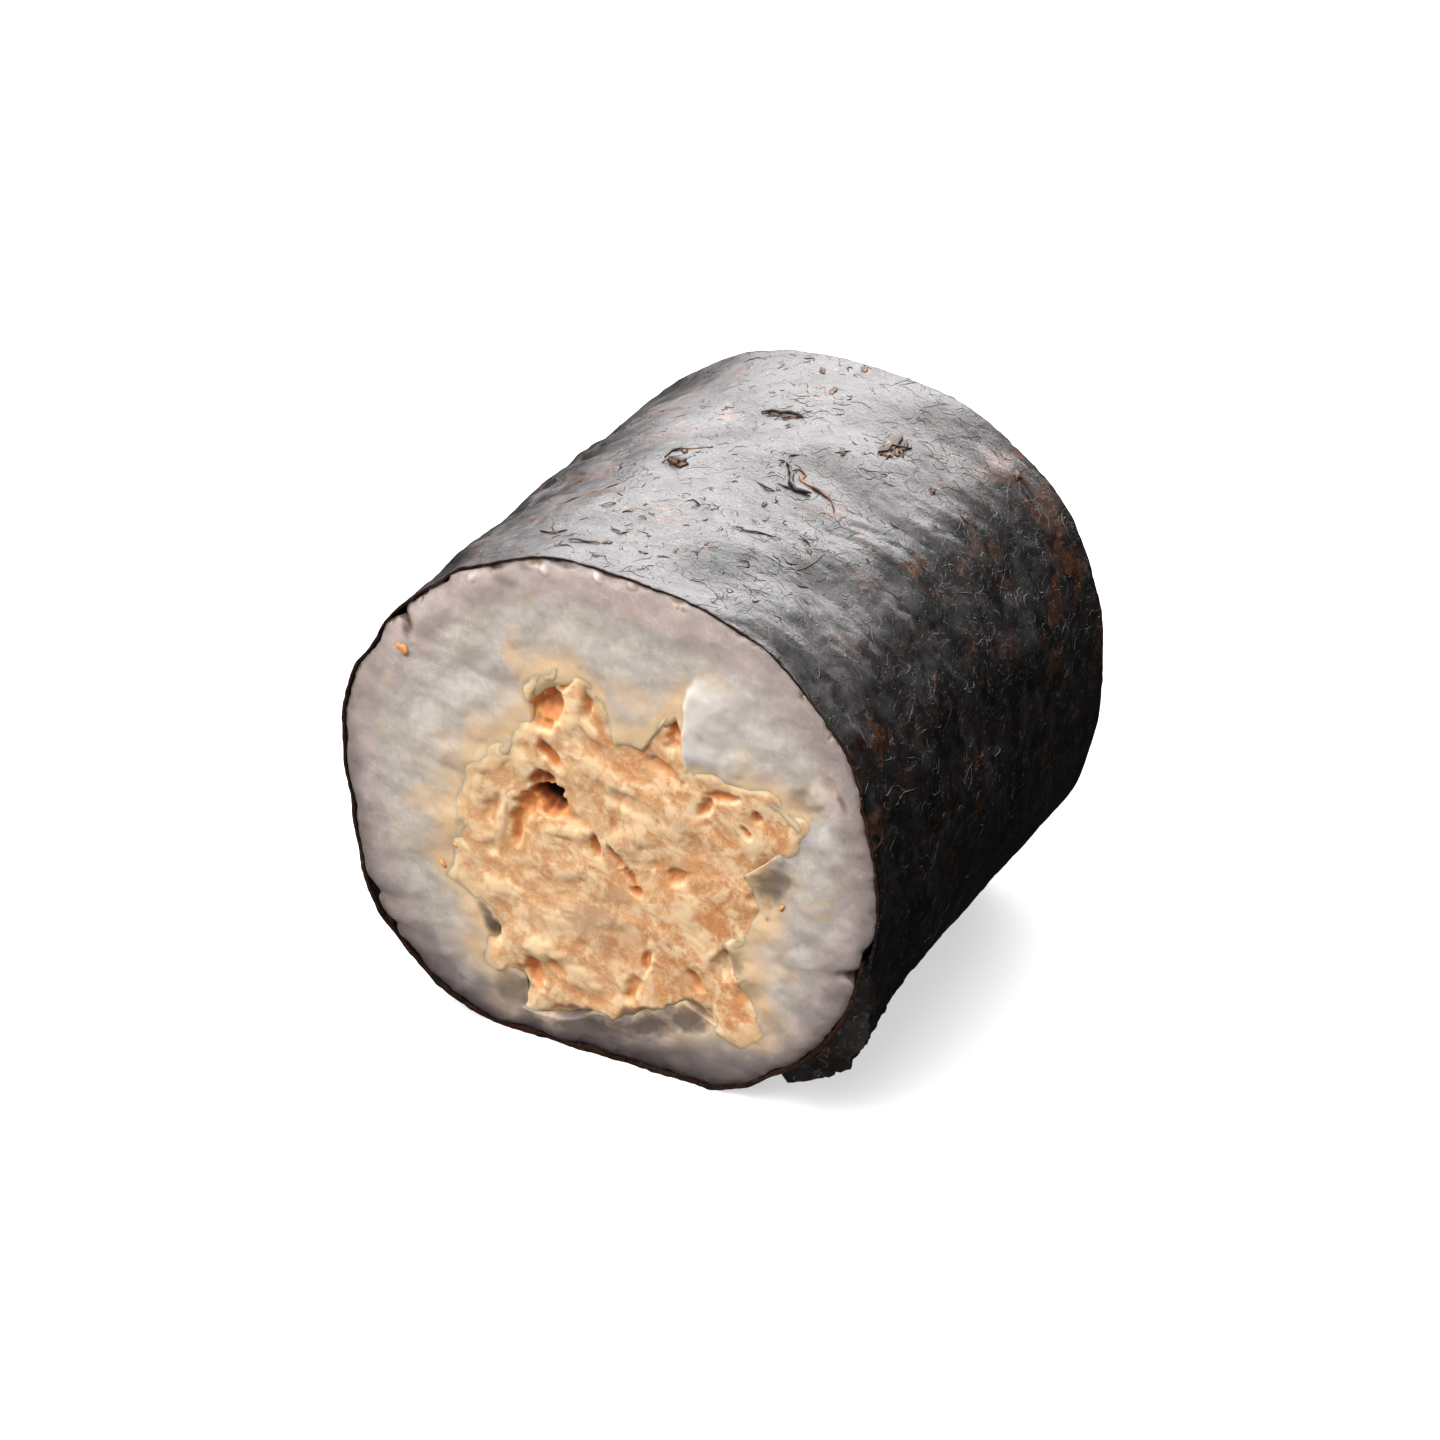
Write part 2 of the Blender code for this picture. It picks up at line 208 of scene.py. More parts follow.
# Spots of the sheet: angle round the roll, place along it and size in millimetres, height or strength
NORI_BLISTERS = metres([
    (29, -10.3, 1, 0.22), (16, -11.8, 0.7, 0.16), (100, -1.2, 0.6, 0.2), (47, 10.4, 1.4, 0.25),
    (133, -9, 1.8, 0.22), (131, -3, 1.8, 0.22), (134, 3.5, 1.8, 0.22), (200, 6, 1.4, 0.25),
    (170, -5, 1, 0.22), (124, -12.6, 1.2, 0.1), (147, -12.4, 1.4, 0.14), (160, -12.6, 1.2, 0.12),
    (184, -12.5, 1.4, 0.14),
], 1, 2, 3)
TOASTED_SPOTS = metres([
    (46, -0.4, 1.2, 0.8), (41, 2.2, 0.9, 0.7), (47, 10.4, 1.6, 1), (38, 11.2, 1.8, 0.8),
    (26, 10.4, 2.2, 0.7), (29, -10.3, 1.2, 0.9), (15, -12.3, 0.9, 0.9), (22, 8.2, 1.2, 0.9),
    (12, 7.4, 0.8, 1), (7, 8.4, 0.7, 1), (58, 6, 0.8, 0.6), (92, 10.9, 0.6, 0.9), (85, 12.2, 0.5, 0.9),
    (176, -12.7, 1.6, 1), (190, -12.4, 1.2, 0.9), (205, 4, 2, 0.7), (160, 7, 1.6, 0.7), (240, -6, 2, 0.7),
    (124, -9.8, 1.2, 0.6), (117, -6.6, 1.4, 0.6), (121, -1.8, 1.8, 0.7), (112, 2.6, 1.4, 0.6),
    (118, 6, 1.6, 0.7), (110, 10.4, 1.2, 0.7),
], 1, 2)
# Spots of the pale film, painted paler and rougher, partly a painted sheen down the shoulder
FILM_AND_SHEEN_SPOTS = metres([
    (40, -11.2, 1.8, 0.7), (46, -9, 2.2, 0.8), (50, -6, 2.4, 0.8), (46, -3, 1.8, 0.5), (33, -8.5, 1.2, 0.4),
    (58, 2, 2, 0.5), (54, 6, 2, 0.5), (66, 10.5, 1.8, 0.5), (118, 6, 2.4, 0.5), (125, -8, 2, 0.5),
], 1, 2)


def smooth_step(value):
    value = min(1.0, max(0.0, value))
    return value * value * (3 - 2 * value)


def bell(offset, width):
    """1 where there is no offset, falling softly to 0 past the width."""
    return math.exp(-((offset / width) ** 2))


def wave(x, y, z, size=1.0):
    """Smooth noise at a place, whose swells have about the given size."""
    return noise.noise(Vector((x, y, z)) / size)


def turn_between(first, second):
    """The turn from the second angle to the first, from -180 to 180 degrees."""
    return (first - second + 180) % 360 - 180


def calm_back(y):
    """How much of the relief is left at a place along the roll, which is smoother towards its back."""
    return 1 - 0.5 * smooth_step((y - CALM_BACK_FROM) / CALM_BACK_REACH)


def outline_radius(angle, y):
    """Distance from the roll's axis to the nori's outer surface, with its swells."""
    corner = 45 + 90 * math.floor((angle - 45) / 90)
    here = CORNER_SQUARENESS[corner % 360]
    next_one = CORNER_SQUARENESS[(corner + 90) % 360]
    power = here + (next_one - here) * smooth_step((angle - corner) / 90)
    turn = math.radians(angle)
    across = abs(math.cos(turn)) / HALF_WIDTH
    upward = abs(math.sin(turn)) / HALF_HEIGHT
    radius = (across**power + upward**power) ** (-1 / power)
    swell = wave(radius * math.cos(turn), y, radius * math.sin(turn), SWELL_SIZE)
    return radius + SWELL_HEIGHT * swell * calm_back(y)


def around_axis(angle, radius, y, lowest):
    """A point at that angle and radius from the roll's axis, but no lower than the given height."""
    turn = math.radians(angle)
    height = ROLL_AXIS_HEIGHT + radius * math.sin(turn)
    return Vector((radius * math.cos(turn), y, max(height, lowest)))


def lap_depth(angle):
    """How far the sheet's start, and the rice under it, are pressed in by the end that lies over them."""
    past_start = turn_between(SHEET_START, angle)
    ramp_in = smooth_step((past_start + LAYER_RAMP) / LAYER_RAMP)
    ramp_out = smooth_step((past_start - LAP) / LAYER_RAMP)
    return LAYER_DEPTH * ramp_in * (1 - ramp_out)


def nori_relief(along, y):
    """Dents, wrinkles and folds that run round the roll, small puckers, and the blisters of the sheet."""
    angle = SHEET_START - along
    arc = math.radians(along) * HALF_WIDTH
    slanted = y - SLANT * arc + WRINKLE_BEND * wave(arc, y, 0, WRINKLE_BEND_SIZE)
    creased = CREASED_LEAST
    for middle, width, strength in CREASED_ANGLES:
        creased += strength * bell(turn_between(angle, middle), width)
    creased = min(creased, 1.0) * calm_back(y)
    dent = wave(arc, y, 6.0, DENT_SIZE)
    wrinkle = wave(arc / WRINKLE_LONG, slanted / WRINKLE_SHORT, 3.0)
    fold = abs(wave(arc / FOLD_LONG, slanted / FOLD_SHORT, 7.0))
    pucker = wave(arc, y, 9.0, PUCKER_SIZE) + 0.6 * wave(arc, y, 5.0, PUCKER_SIZE / 2.3)
    folded = 1 - smooth_step(fold / FOLD_SHARPNESS)
    relief = (DENT_DEPTH * dent + WRINKLE_HEIGHT * wrinkle - FOLD_DEPTH * folded) * creased
    relief += PUCKER_HEIGHT * pucker * (0.3 + creased)
    for blister_angle, blister_y, size, height in NORI_BLISTERS:
        relief += height * bell(off_spot(angle, y, blister_angle, blister_y), size / 1.5)
    return relief


def off_spot(angle, y, spot_angle, spot_y):
    """How far a place on the sheet is from the middle of a spot."""
    return math.hypot(math.radians(turn_between(angle, spot_angle)) * HALF_WIDTH, y - spot_y)


def edge_thickness(along, y):
    """Thickness of the sheet at its cuts, where it has swollen by uneven amounts, least along the top."""
    seed = math.copysign(9, y)
    change = wave(along / 7.0, seed, 0) + 0.7 * wave(along / 1.8, seed, 4)
    angle = SHEET_START - along
    thinned = NORI_THINNED * (math.sin(math.radians(angle)) + bell(turn_between(angle, 178), 45))
    return (NORI_THICKNESS + NORI_THICKNESS_CHANGE * change) * (1 - thinned)


def sheet_radius(along, y):
    """Distance from the roll's axis to the sheet's outer side, at a turn along the sheet from its start."""
    angle = SHEET_START - along
    radius = outline_radius(angle, y) + nori_relief(along, y)
    if along < 180:
        return radius - lap_depth(angle)
    past_lap = (along - 360) / LAP
    lifted = smooth_step(past_lap * 2.2) * (1 - 0.9 * smooth_step((past_lap - 0.62) / 0.38))
    towards_cut = math.exp(-(y + CUT_Y) / FLAP_DEPTH)
    ragged = wave(along / 2.6, y / 0.0011, 2.0) + 0.8 * wave(along, y / 0.0006, 3.0)
    return radius + (FLAP_LIFT + FLAP_RAGGED * ragged) * lifted * towards_cut


def sheet_place(along, y, inside):
    """A point of the sheet's outer or inner side, with the ragged end and the wandering cut edges."""
    near_cut = math.exp(-(CUT_Y - abs(y)) / EDGE_REACH)
    arc = math.radians(along) * HALF_WIDTH
    seed = math.copysign(5, y)
    wander = wave(arc / 0.0016, seed, 0) + 0.6 * wave(arc / 0.0004, seed, 1)
    torn_end = 3.0 * wave(y / 0.0020, 0, 4.0) + 1.2 * wave(y / 0.0005, 0, 8.0)
    along += torn_end * smooth_step((along - 350) / 40)
    radius = sheet_radius(along, y)
    at_edge = edge_thickness(along, y)
    lowest = 0
    if inside and along > 360:
        radius = min(radius - at_edge, sheet_radius(along - 360, y) + 0.00002)
    elif inside:
        lowest = NORI_INNER_THICKNESS + (at_edge - NORI_INNER_THICKNESS) * near_cut
        radius -= lowest
    return around_axis(SHEET_START - along, radius, y + EDGE_WAVE * wander * near_cut, lowest)


def sheet_spots(least, spots, along, y, torn, soft):
    """The strongest of the sheet's torn soft spots at a place, where it isn't less than the least."""
    for spot_angle, spot_y, size, strength in spots:
        distance = off_spot(SHEET_START - along, y, spot_angle, spot_y) / size - torn
        least = max(least, strength * (1 - smooth_step((distance - 0.3) / soft)))
    return least


def toasting(along, y):
    """How brown the sheet is at a place, from 0 to 1."""
    arc = math.radians(along) * HALF_WIDTH
    ragged = noise.fractal(Vector((arc, y, 0)) / TOASTED_SIZE, 0.7, 2.0, 5)
    frayed = noise.fractal(Vector((arc, y, 8)) / 0.0009, 0.8, 2.0, 3)
    brown = 0.6 * smooth_step((ragged + 0.2 * frayed - TOASTED_LEAST) / 0.30)
    brown = sheet_spots(brown, TOASTED_SPOTS, along, y, 0.8 * ragged + 0.9 * frayed, 1.0)
    return brown * (1 - smooth_step((along - 345) / 15))


def film_and_sheen_share(along, y):
    """How much of a pale dried film lies on the sheet at a place, in streaks that run down its shoulder. It
    is painted paler there, partly a painted sheen where the top's reflection spreads down.
    """
    arc = math.radians(along) * HALF_WIDTH
    streak = noise.fractal(Vector((arc / 0.0040, (y - SLANT * arc) / 0.0011, 5.0)), 0.8, 2.0, 4)
    film = 0.25 * smooth_step((streak - 0.15) / 0.5)
    return sheet_spots(film, FILM_AND_SHEEN_SPOTS, along, y, 0.525 * streak, 1.1)


def nori_point(across, row):
    """Where a corner of the grid lies: its rows run along the sheet's outer side and back along the inner."""
    along = (across + 1) / 2 * (360 + LAP)
    row %= NORI_ROWS
    inside = row > NORI_ROWS_OUTSIDE
    if inside:
        y = CUT_Y * (1 - 2 * (row - NORI_ROWS_OUTSIDE - 1) / NORI_ROWS_INSIDE)
    else:
        y = CUT_Y * (2 * row / NORI_ROWS_OUTSIDE - 1)
    cut = (0.75 if along > 350 else 1.0) if abs(y) > CUT_Y - 0.00001 else 0.0
    masks = {"toasted": toasting(along, y), "film": film_and_sheen_share(along, y), "cut": cut}
    return sheet_place(along, y, inside), masks


def wrapped(name, steps_round, rings, point, flat_angle):
    """A grid wrapped into a closed smooth piece, whose masks are stored at its vertices for its material."""
    bpy.ops.mesh.primitive_grid_add(x_subdivisions=steps_round, y_subdivisions=rings, size=2)
    piece = bpy.context.object
    piece.name = name
    masks = {}
    for corner in piece.data.vertices:
        corner.co, shown = point(corner.co.x, round((corner.co.y + 1) / 2 * rings))
        for mask, value in shown.items():
            if mask not in masks:
                masks[mask] = [0.0] * len(piece.data.vertices)
            masks[mask][corner.index] = value
    for mask, values in masks.items():
        piece.data.attributes.new(mask, "FLOAT", "POINT").data.foreach_set("value", values)
    bpy.ops.object.mode_set(mode="EDIT")
    bpy.ops.mesh.select_all(action="SELECT")
    bpy.ops.mesh.remove_doubles(threshold=MERGED_WITHIN)
    bpy.ops.mesh.select_all(action="DESELECT")
    bpy.ops.mesh.select_mode(type="EDGE")
    bpy.ops.mesh.select_non_manifold()
    bpy.ops.mesh.fill_holes(sides=0)
    bpy.ops.mesh.select_all(action="SELECT")
    bpy.ops.mesh.normals_make_consistent(inside=False)
    bpy.ops.object.mode_set(mode="OBJECT")
    bpy.ops.object.shade_smooth_by_angle(angle=math.radians(flat_angle))
    return piece


class Finish:
    """A material laid on in coats of colour, over patterns that follow the piece's own places."""

    def __init__(self, name, colour, **sockets):
        self.material, self.shader = new_material(name, colour, **sockets)
        self.tree = self.material.node_tree
        self.colour = colour
        self.relief = {}

    def painted(self, mask):
        return add_node(self.tree, "ShaderNodeAttribute", attribute_name=mask).outputs["Fac"]

    def speckle(self, size, detail=4.0, roughness=0.55, distortion=0.0):
        """Noise between 0 and 1 whose patches have about the given size in metres."""
        place = add_node(self.tree, "ShaderNodeTexCoord").outputs["Object"]
        inputs = {"Vector": place, "Scale": 1 / size, "Detail": detail, "Roughness": roughness}
        inputs["Distortion"] = distortion
        return add_node(self.tree, "ShaderNodeTexNoise", inputs).outputs["Fac"]

    def ramp(self, value, low, high, to_low=0.0, to_high=1.0):
        """A value mapped smoothly from one range to another and kept inside it."""
        inputs = {"Value": value, "From Min": low, "From Max": high, "To Min": to_low, "To Max": to_high}
        made = add_node(self.tree, "ShaderNodeMapRange", inputs, interpolation_type="SMOOTHSTEP")
        return made.outputs["Result"]

    def combined(self, operation, first, second=0.0):
        return add_node(self.tree, "ShaderNodeMath", {0: first, 1: second}, operation=operation).outputs[0]

    def plus(self, first, second):
        return self.combined("ADD", first, second)

    def times(self, first, second):
        return self.combined("MULTIPLY", first, second)

    def most(self, first, second):
        return self.combined("MAXIMUM", first, second)

    def hair_lines(self, size, fineness, coverage):
        """Thin curly lines: where a noise crosses its middle value, broken up by a second noise."""
        away = self.combined("ABSOLUTE", self.plus(self.speckle(size, 1.0, distortion=0.6), -0.5))
        breaks = self.ramp(self.speckle(size * 0.9, 2.0), coverage, coverage + 0.06)
        return self.times(self.ramp(away, 0.0, fineness, 1.0, 0.0), breaks)

    def coat(self, colour, share):
        """Lays a colour over those that are there, as far as its share says."""
        inputs = {0: share, 6: self.colour, 7: colour}
        self.colour = add_node(self.tree, "ShaderNodeMix", inputs, data_type="RGBA").outputs[2]

    def roughen(self, height, strength, distance):
        """Adds fine relief to the surface, over what is there."""
        inputs = {"Height": height, "Strength": strength, "Distance": distance, **self.relief}
        self.relief = {"Normal": add_node(self.tree, "ShaderNodeBump", inputs).outputs[0]}

    def put_on(self, piece, **patterns):
        """Leads the coats, the relief and other patterns to the shader, and gives the piece its material."""
        for socket, pattern in {"Base_Color": self.colour, **self.relief, **patterns}.items():
            self.tree.links.new(pattern, self.shader.inputs[socket.replace("_", " ")])
        piece.data.materials.append(self.material)


nori = wrapped("nori_sheet", NORI_STEPS_ROUND, NORI_ROWS, nori_point, 60)

NORI_BLACK = (0.0055, 0.0050, 0.0048)
NORI_GREEN_BLACK = (0.010, 0.009, 0.008)
NORI_RUST = (0.034, 0.011, 0.005)
NORI_BROWN = (0.052, 0.019, 0.008)
NORI_AMBER = (0.20, 0.070, 0.016)
NORI_EDGE = (0.040, 0.015, 0.008)
NORI_FILM_AND_SHEEN = (0.056, 0.050, 0.050)
NORI_HAIR = (0.26, 0.24, 0.23)
toast = Finish("toasted_nori", NORI_BLACK, IOR=1.65, Specular_IOR_Level=1.0)
browned = toast.painted("toasted")
at_cut = toast.painted("cut")
flecks = toast.speckle(0.00055, 6.0, 0.65)
cloudy = toast.speckle(0.0015, 6.0, 0.66, 0.8)
toast.coat(NORI_GREEN_BLACK, toast.ramp(toast.speckle(0.0009, 6.0), 0.40, 0.66))
toast.coat(NORI_RUST, toast.ramp(toast.speckle(0.0016, 6.0, 0.68, 0.6), 0.50, 0.68, 0.0, 0.7))
toast.coat(NORI_BROWN, toast.ramp(toast.plus(browned, toast.plus(flecks, -0.5)), 0.40, 0.74))
toast.coat(NORI_AMBER, toast.times(browned, toast.ramp(flecks, 0.53, 0.68)))
hairs = toast.most(toast.hair_lines(0.00095, 0.011, 0.53), toast.hair_lines(0.00050, 0.016, 0.55))
toast.coat(NORI_HAIR, toast.times(hairs, 0.5))
toast.coat(NORI_EDGE, toast.times(toast.ramp(at_cut, 0.8, 1.0), toast.ramp(flecks, 0.38, 0.60, 0.15, 1.0)))
filmed_and_sheen = toast.times(toast.painted("film"), toast.ramp(cloudy, 0.3, 0.6, 0.3, 1.0))
# Partly painted sheen: the film's pale colour stands in for the reflection spreading down the shoulder
toast.coat(NORI_FILM_AND_SHEEN, filmed_and_sheen)
nori_rough = toast.plus(toast.ramp(cloudy, 0.35, 0.65, 0.30, 0.48), toast.times(filmed_and_sheen, 0.16))
shine = toast.times(toast.ramp(cloudy, 0.38, 0.58, 0.50, 0.76), toast.ramp(at_cut, 0.2, 1.0, 1.0, 0.12))
toast.roughen(toast.speckle(0.00020, 5.0, 0.65), 0.6, 0.00006)
toast.roughen(toast.hair_lines(0.00075, 0.012, 0.50), 0.8, 0.00007)
toast.put_on(nori, Roughness=nori_rough, Specular_IOR_Level=shine)
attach(nori, "root")
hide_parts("nori")


# Seaweed fibres, dark and curly on the top and pale and straight on the sides, lie dried on to the sheet.
# Each is its radius in millimetres and its corners: angle round the roll, and millimetres along it.
FIBRE_STEP = 0.00012
STRAND_PIECES = 4
FIBRE_PRESSED = 0.6
FIBRE_WANDER = 0.00009
DARK_TUFTS = dict(
    tufts=28, together=(2, 7), middle=90, spread=18, lengths=(0.0002, 0.0012), curl=0.8, radius=0.000018
)
PALE_TUFTS = dict(
    tufts=150, together=(3, 9), middle=55, spread=17, lengths=(0.0004, 0.0020), curl=0.4, radius=0.000011
)
DARK_FIBRES = [
    (0.13, [(80, 1.2), (79, 1.1), (77, 0.5), (76, -0.2), (74, -0.5), (72, -0.4), (71, -0.3)]),
    (0.06, [(78, -0.5), (76, -0.6), (75, -0.6)]), (0.05, [(81, -1.1), (79, -1.3), (77, -1.3)]),
    (0.04, [(81, 1.9), (80, 2.2), (78, 2.5)]), (0.07, [(103, -0.8), (103, 0), (101, 0.3)]),
    (0.06, [(102, -10.8), (99, -10.6), (96, -10.4)]),
    (0.07, [(112, -9.4), (110, -9.6), (108, -9.7), (106, -9.3)]),
    (0.04, [(108, -9.7), (111, -8.6), (113, -7.8)]), (0.03, [(104, -9.9), (103, -9.6), (101, -9.7)]),
    (0.03, [(103, -11.7), (101, -11.4), (99, -11.6)]), (0.03, [(94, -11.8), (92, -11.6)]),
    (0.03, [(98, -8.6), (95, -8.8), (93, -8.2), (90, -8.3)]), (0.04, [(99, -7), (98, -6.8), (97, -6.8)]),
    (0.03, [(95, -7.1), (94, -6.9), (93, -7.1)]), (0.03, [(121, -2.8), (120, -2.5), (119, -2.6)]),
    (0.1, [(95, 5.7), (93, 5.9), (91, 5.8), (89, 6), (86, 5.9)]),
    (0.04, [(77, -5.9), (74, -5.7), (71, -5.1), (68, -4.9)]), (0.04, [(66, -3.9), (64, -4), (63, -4.2)]),
    (0.03, [(63, -6.8), (61, -6), (60, -5.2), (60, -4.1)]), (0.03, [(54, -2.5), (53, -2.6)]),
    (0.04, [(56, 1), (55, 1), (54, 1.1)]), (0.04, [(64, 3.7), (63, 4)]),
    (0.04, [(74, 3.6), (73, 3.9), (72, 4.3)]), (0.1, [(68, 5.4), (67, 6), (67, 6.6), (65, 7.1), (64, 7.3)]),
    (0.03, [(90, -5), (88, -4.6), (86, -4.9), (87, -5.3)]), (0.03, [(84, -10.1), (82, -9.8), (80, -10)]),
    (0.03, [(71, -8.2), (69, -7.9), (68, -8.3), (70, -8.6)]),
]
GOLDEN_FIBRES = [
    (0.08, [(76, 0.9), (75, 0.5), (73, 0.4), (72, 0.4), (69, 0.2), (67, 0.1), (65, -0.7)]),
    (0.04, [(116, -6.2), (114, -6), (110, -4.9), (107, -4.1), (105, -3)]),
    (0.06, [(101, 0.3), (99, 0.7), (97, 0.9), (96, 0.9)]),
    (0.03, [(105, -6.6), (103, -6.2), (102, -6.3), (103, -6.7), (105, -6.6)]),
    (0.05, [(90, 5.4), (89, 5.5), (88, 5.7)]), (0.05, [(66, 6.6), (65, 6.2), (64, 6.4)]),
    (0.04, [(78, 0.9), (77, 1.3), (75, 1.1), (75, 0.6)]),
]
PALE_FIBRES = [
    (0.02, [(16, -11), (15, -10), (16, -9.2), (15, -8.2)]),
    (0.016, [(27, -11.6), (24, -10), (22, -8.6), (19, -7.3)]),
    (0.018, [(14, -11.7), (12, -10.8), (11, -10.4), (9, -10.6), (7, -11)]),
    (0.018, [(20, -11.2), (18, -10.6), (19, -9.8)]),
    (0.016, [(18, -11.6), (15, -11.2), (12, -11.3), (10, -11.7)]),
    (0.02, [(48, -8.9), (47, -9.5), (47, -10.1)]), (0.016, [(40, 0), (37, 1.6), (34, 3.1)]),
    (0.018, [(42, 9.3), (41, 10.3), (40, 11.3)]),
]


def nori_place(angle, y, lift):
    """A point on the outermost layer of the sheet at an angle, raised by a lift."""
    along = (SHEET_START - angle) % 360
    if along < LAP:
        along += 360
    here = sheet_place(along, y, False)
    outwards = Vector((here.x, 0, here.z - ROLL_AXIS_HEIGHT)).normalized()
    return here + outwards * lift


def tapered(places, radius):
    """The places along a strand with its radius at each, full in the middle and thin at the ends."""
    share = [0.35 + 0.65 * math.sin(math.pi * (step + 0.5) / len(places)) for step in range(len(places))]
    return [(here, radius * full) for here, full in zip(places, share)]


def named_strand(radius, corners):
    """A strand that runs through its corners on the sheet, wandering a little between them."""
    radius *= MM
    places = []
    for first, second in zip(corners, corners[1:]):
        for step in range(STRAND_PIECES):
            angle, y = (a + (b - a) * step / STRAND_PIECES for a, b in zip(first, second))
            wander = noise.noise_vector(Vector((angle / 3, y * MM / 0.0006, 1))) * FIBRE_WANDER
            places.append(nori_place(angle, y * MM, radius * FIBRE_PRESSED) + wander)
    places.append(nori_place(corners[-1][0], corners[-1][1] * MM, radius * FIBRE_PRESSED))
    return tapered(places, radius)


def chance_strand(angle, y, length, curl, radius, draw):
    """A strand that lies on the sheet from a place, bending by chance as it goes."""
    heading = draw.uniform(0, 2 * math.pi)
    places = []
    for _ in range(max(4, round(length / FIBRE_STEP))):
        places.append(nori_place(angle, y, radius * FIBRE_PRESSED))
        heading += draw.gauss(0, curl)
        angle += math.degrees(FIBRE_STEP * math.cos(heading) / HALF_WIDTH)
        y = max(-CUT_Y, min(CUT_Y, y + FIBRE_STEP * math.sin(heading)))
    return tapered(places, radius)


def chance_strands(draw, tufts, together, middle, spread, lengths, curl, radius):
    """Strands in tufts over the sheet, most of them about one angle, each bending by chance as it goes."""
    strands = []
    for _ in range(tufts):
        tuft_angle = draw.gauss(middle, spread) if draw.random() < 0.8 else draw.uniform(-30, 330)
        tuft_y = draw.uniform(-CUT_Y, CUT_Y)
        for _ in range(draw.randint(*together)):
            angle = tuft_angle + draw.gauss(0, 5)
            y = max(-CUT_Y, min(CUT_Y, tuft_y + draw.gauss(0, 0.0011)))
            length = draw.uniform(*lengths)
            strands.append(chance_strand(angle, y, length, curl, radius * draw.uniform(0.3, 1.6), draw))
    return strands


def add_strands(name, strands):
    """Round strands through lists of points and radii, made a single mesh."""
    bpy.ops.curve.primitive_nurbs_path_add()
    made = bpy.context.object
    made.name = name
    made.data.splines.clear()
    made.data.bevel_depth = 1.0
    made.data.bevel_resolution = 1
    made.data.use_fill_caps = True
    for strand in strands:
        spline = made.data.splines.new("POLY")
        spline.points.add(len(strand) - 1)
        for point, (here, radius) in zip(spline.points, strand):
            point.co = (*here, 1)
            point.radius = radius
    bpy.ops.object.convert(target="MESH")
    bpy.ops.object.shade_smooth()
    return made


def finish_scraps(piece, name, light, dark, patch):
    """Gives small scraps their patchy colour and fastens them to the piece."""
    patchy = Finish(name, light, Roughness=0.45)
    patchy.coat(dark, patchy.ramp(patchy.speckle(patch), 0.35, 0.65))
    patchy.put_on(piece)
    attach(piece, "root")


fibre_draw = random.Random(31)
dark_strands = [named_strand(*strand) for strand in DARK_FIBRES] + chance_strands(fibre_draw, **DARK_TUFTS)
dark_fibres = add_strands("nori_fibres_dark", dark_strands)
finish_scraps(dark_fibres, "dark_fibre", (0.034, 0.015, 0.008), (0.009, 0.006, 0.005), 0.0012)
pale_strands = [named_strand(*strand) for strand in PALE_FIBRES] + chance_strands(fibre_draw, **PALE_TUFTS)
pale_fibres = add_strands("nori_fibres_pale", pale_strands)
finish_scraps(pale_fibres, "pale_fibre", (0.24, 0.22, 0.21), (0.04, 0.034, 0.030), 0.0010)
golden_fibres = add_strands("nori_fibres_golden", [named_strand(*strand) for strand in GOLDEN_FIBRES])
finish_scraps(golden_fibres, "golden_fibre", (0.30, 0.13, 0.040), (0.045, 0.017, 0.007), 0.0008)


# A few brown flakes of torn frond are pressed on to the sheet as low uneven domes. Each has its angle round
# the roll, its place along it, its half length and half width in millimetres, and its direction in degrees.
FLAKES = metres([
    (101, 0.2, 0.4, 0.18, 40), (99.5, -1.1, 0.52, 0.44, 10), (95, -10.1, 0.24, 0.22, 0),
    (108, -9.7, 0.3, 0.2, 30), (67, 6.6, 0.95, 0.42, 75), (65.5, 7, 0.7, 0.3, 70),
    (67.5, 5.8, 0.55, 0.26, 85), (66, 6.3, 0.5, 0.28, 60), (73, 3.9, 0.34, 0.16, 60),
    (89, 5.7, 0.6, 0.22, 0), (92, 5.7, 0.45, 0.18, 10), (86, 9.2, 0.4, 0.18, 80), (92, 10.9, 0.34, 0.16, 60),
    (85, 12.2, 0.3, 0.16, 60), (93, -6.6, 0.22, 0.09, 20), (83, -4.8, 0.22, 0.09, 110),
    (78, -7.9, 0.2, 0.08, 80), (75, -4.3, 0.18, 0.08, 30), (94, -11.8, 0.2, 0.09, 50),
    (104, -10, 0.22, 0.1, 140), (82, -9.2, 0.2, 0.08, 60), (55, 5.3, 0.34, 0.18, 60),
    (47, 5.2, 0.36, 0.2, 20), (46, 10.8, 0.46, 0.24, 80), (13, 7.3, 0.3, 0.2, 10), (7, 8.4, 0.24, 0.18, 70),
], 1, 2, 3)
FLAKE_RISE = 0.24
FLAKE_ROUGH = (0.9, 2.1)
CHANCE_FLAKES = 46
FLAKE_BROWN = (0.030, 0.012, 0.006)
FLAKE_GOLD = (0.32, 0.13, 0.035)


def add_scrap(long, wide, rise, direction, rough, seed, lay):
    """A low uneven dome, each point of which is laid on to what carries it."""
    bpy.ops.mesh.primitive_ico_sphere_add(subdivisions=3, radius=1)
    scrap = bpy.context.object
    turn = math.radians(direction)
    for corner in scrap.data.vertices:
        uneven = 1 + rough[0] * noise.noise(corner.co * rough[1] + Vector(seed))
        along = corner.co.x * long * uneven
        across = corner.co.y * wide * uneven
        aside = along * math.cos(turn) - across * math.sin(turn)
        above = along * math.sin(turn) + across * math.cos(turn)
        corner.co = lay(aside, above, corner.co.z * rise * uneven)
    bpy.ops.object.shade_smooth()
    return scrap


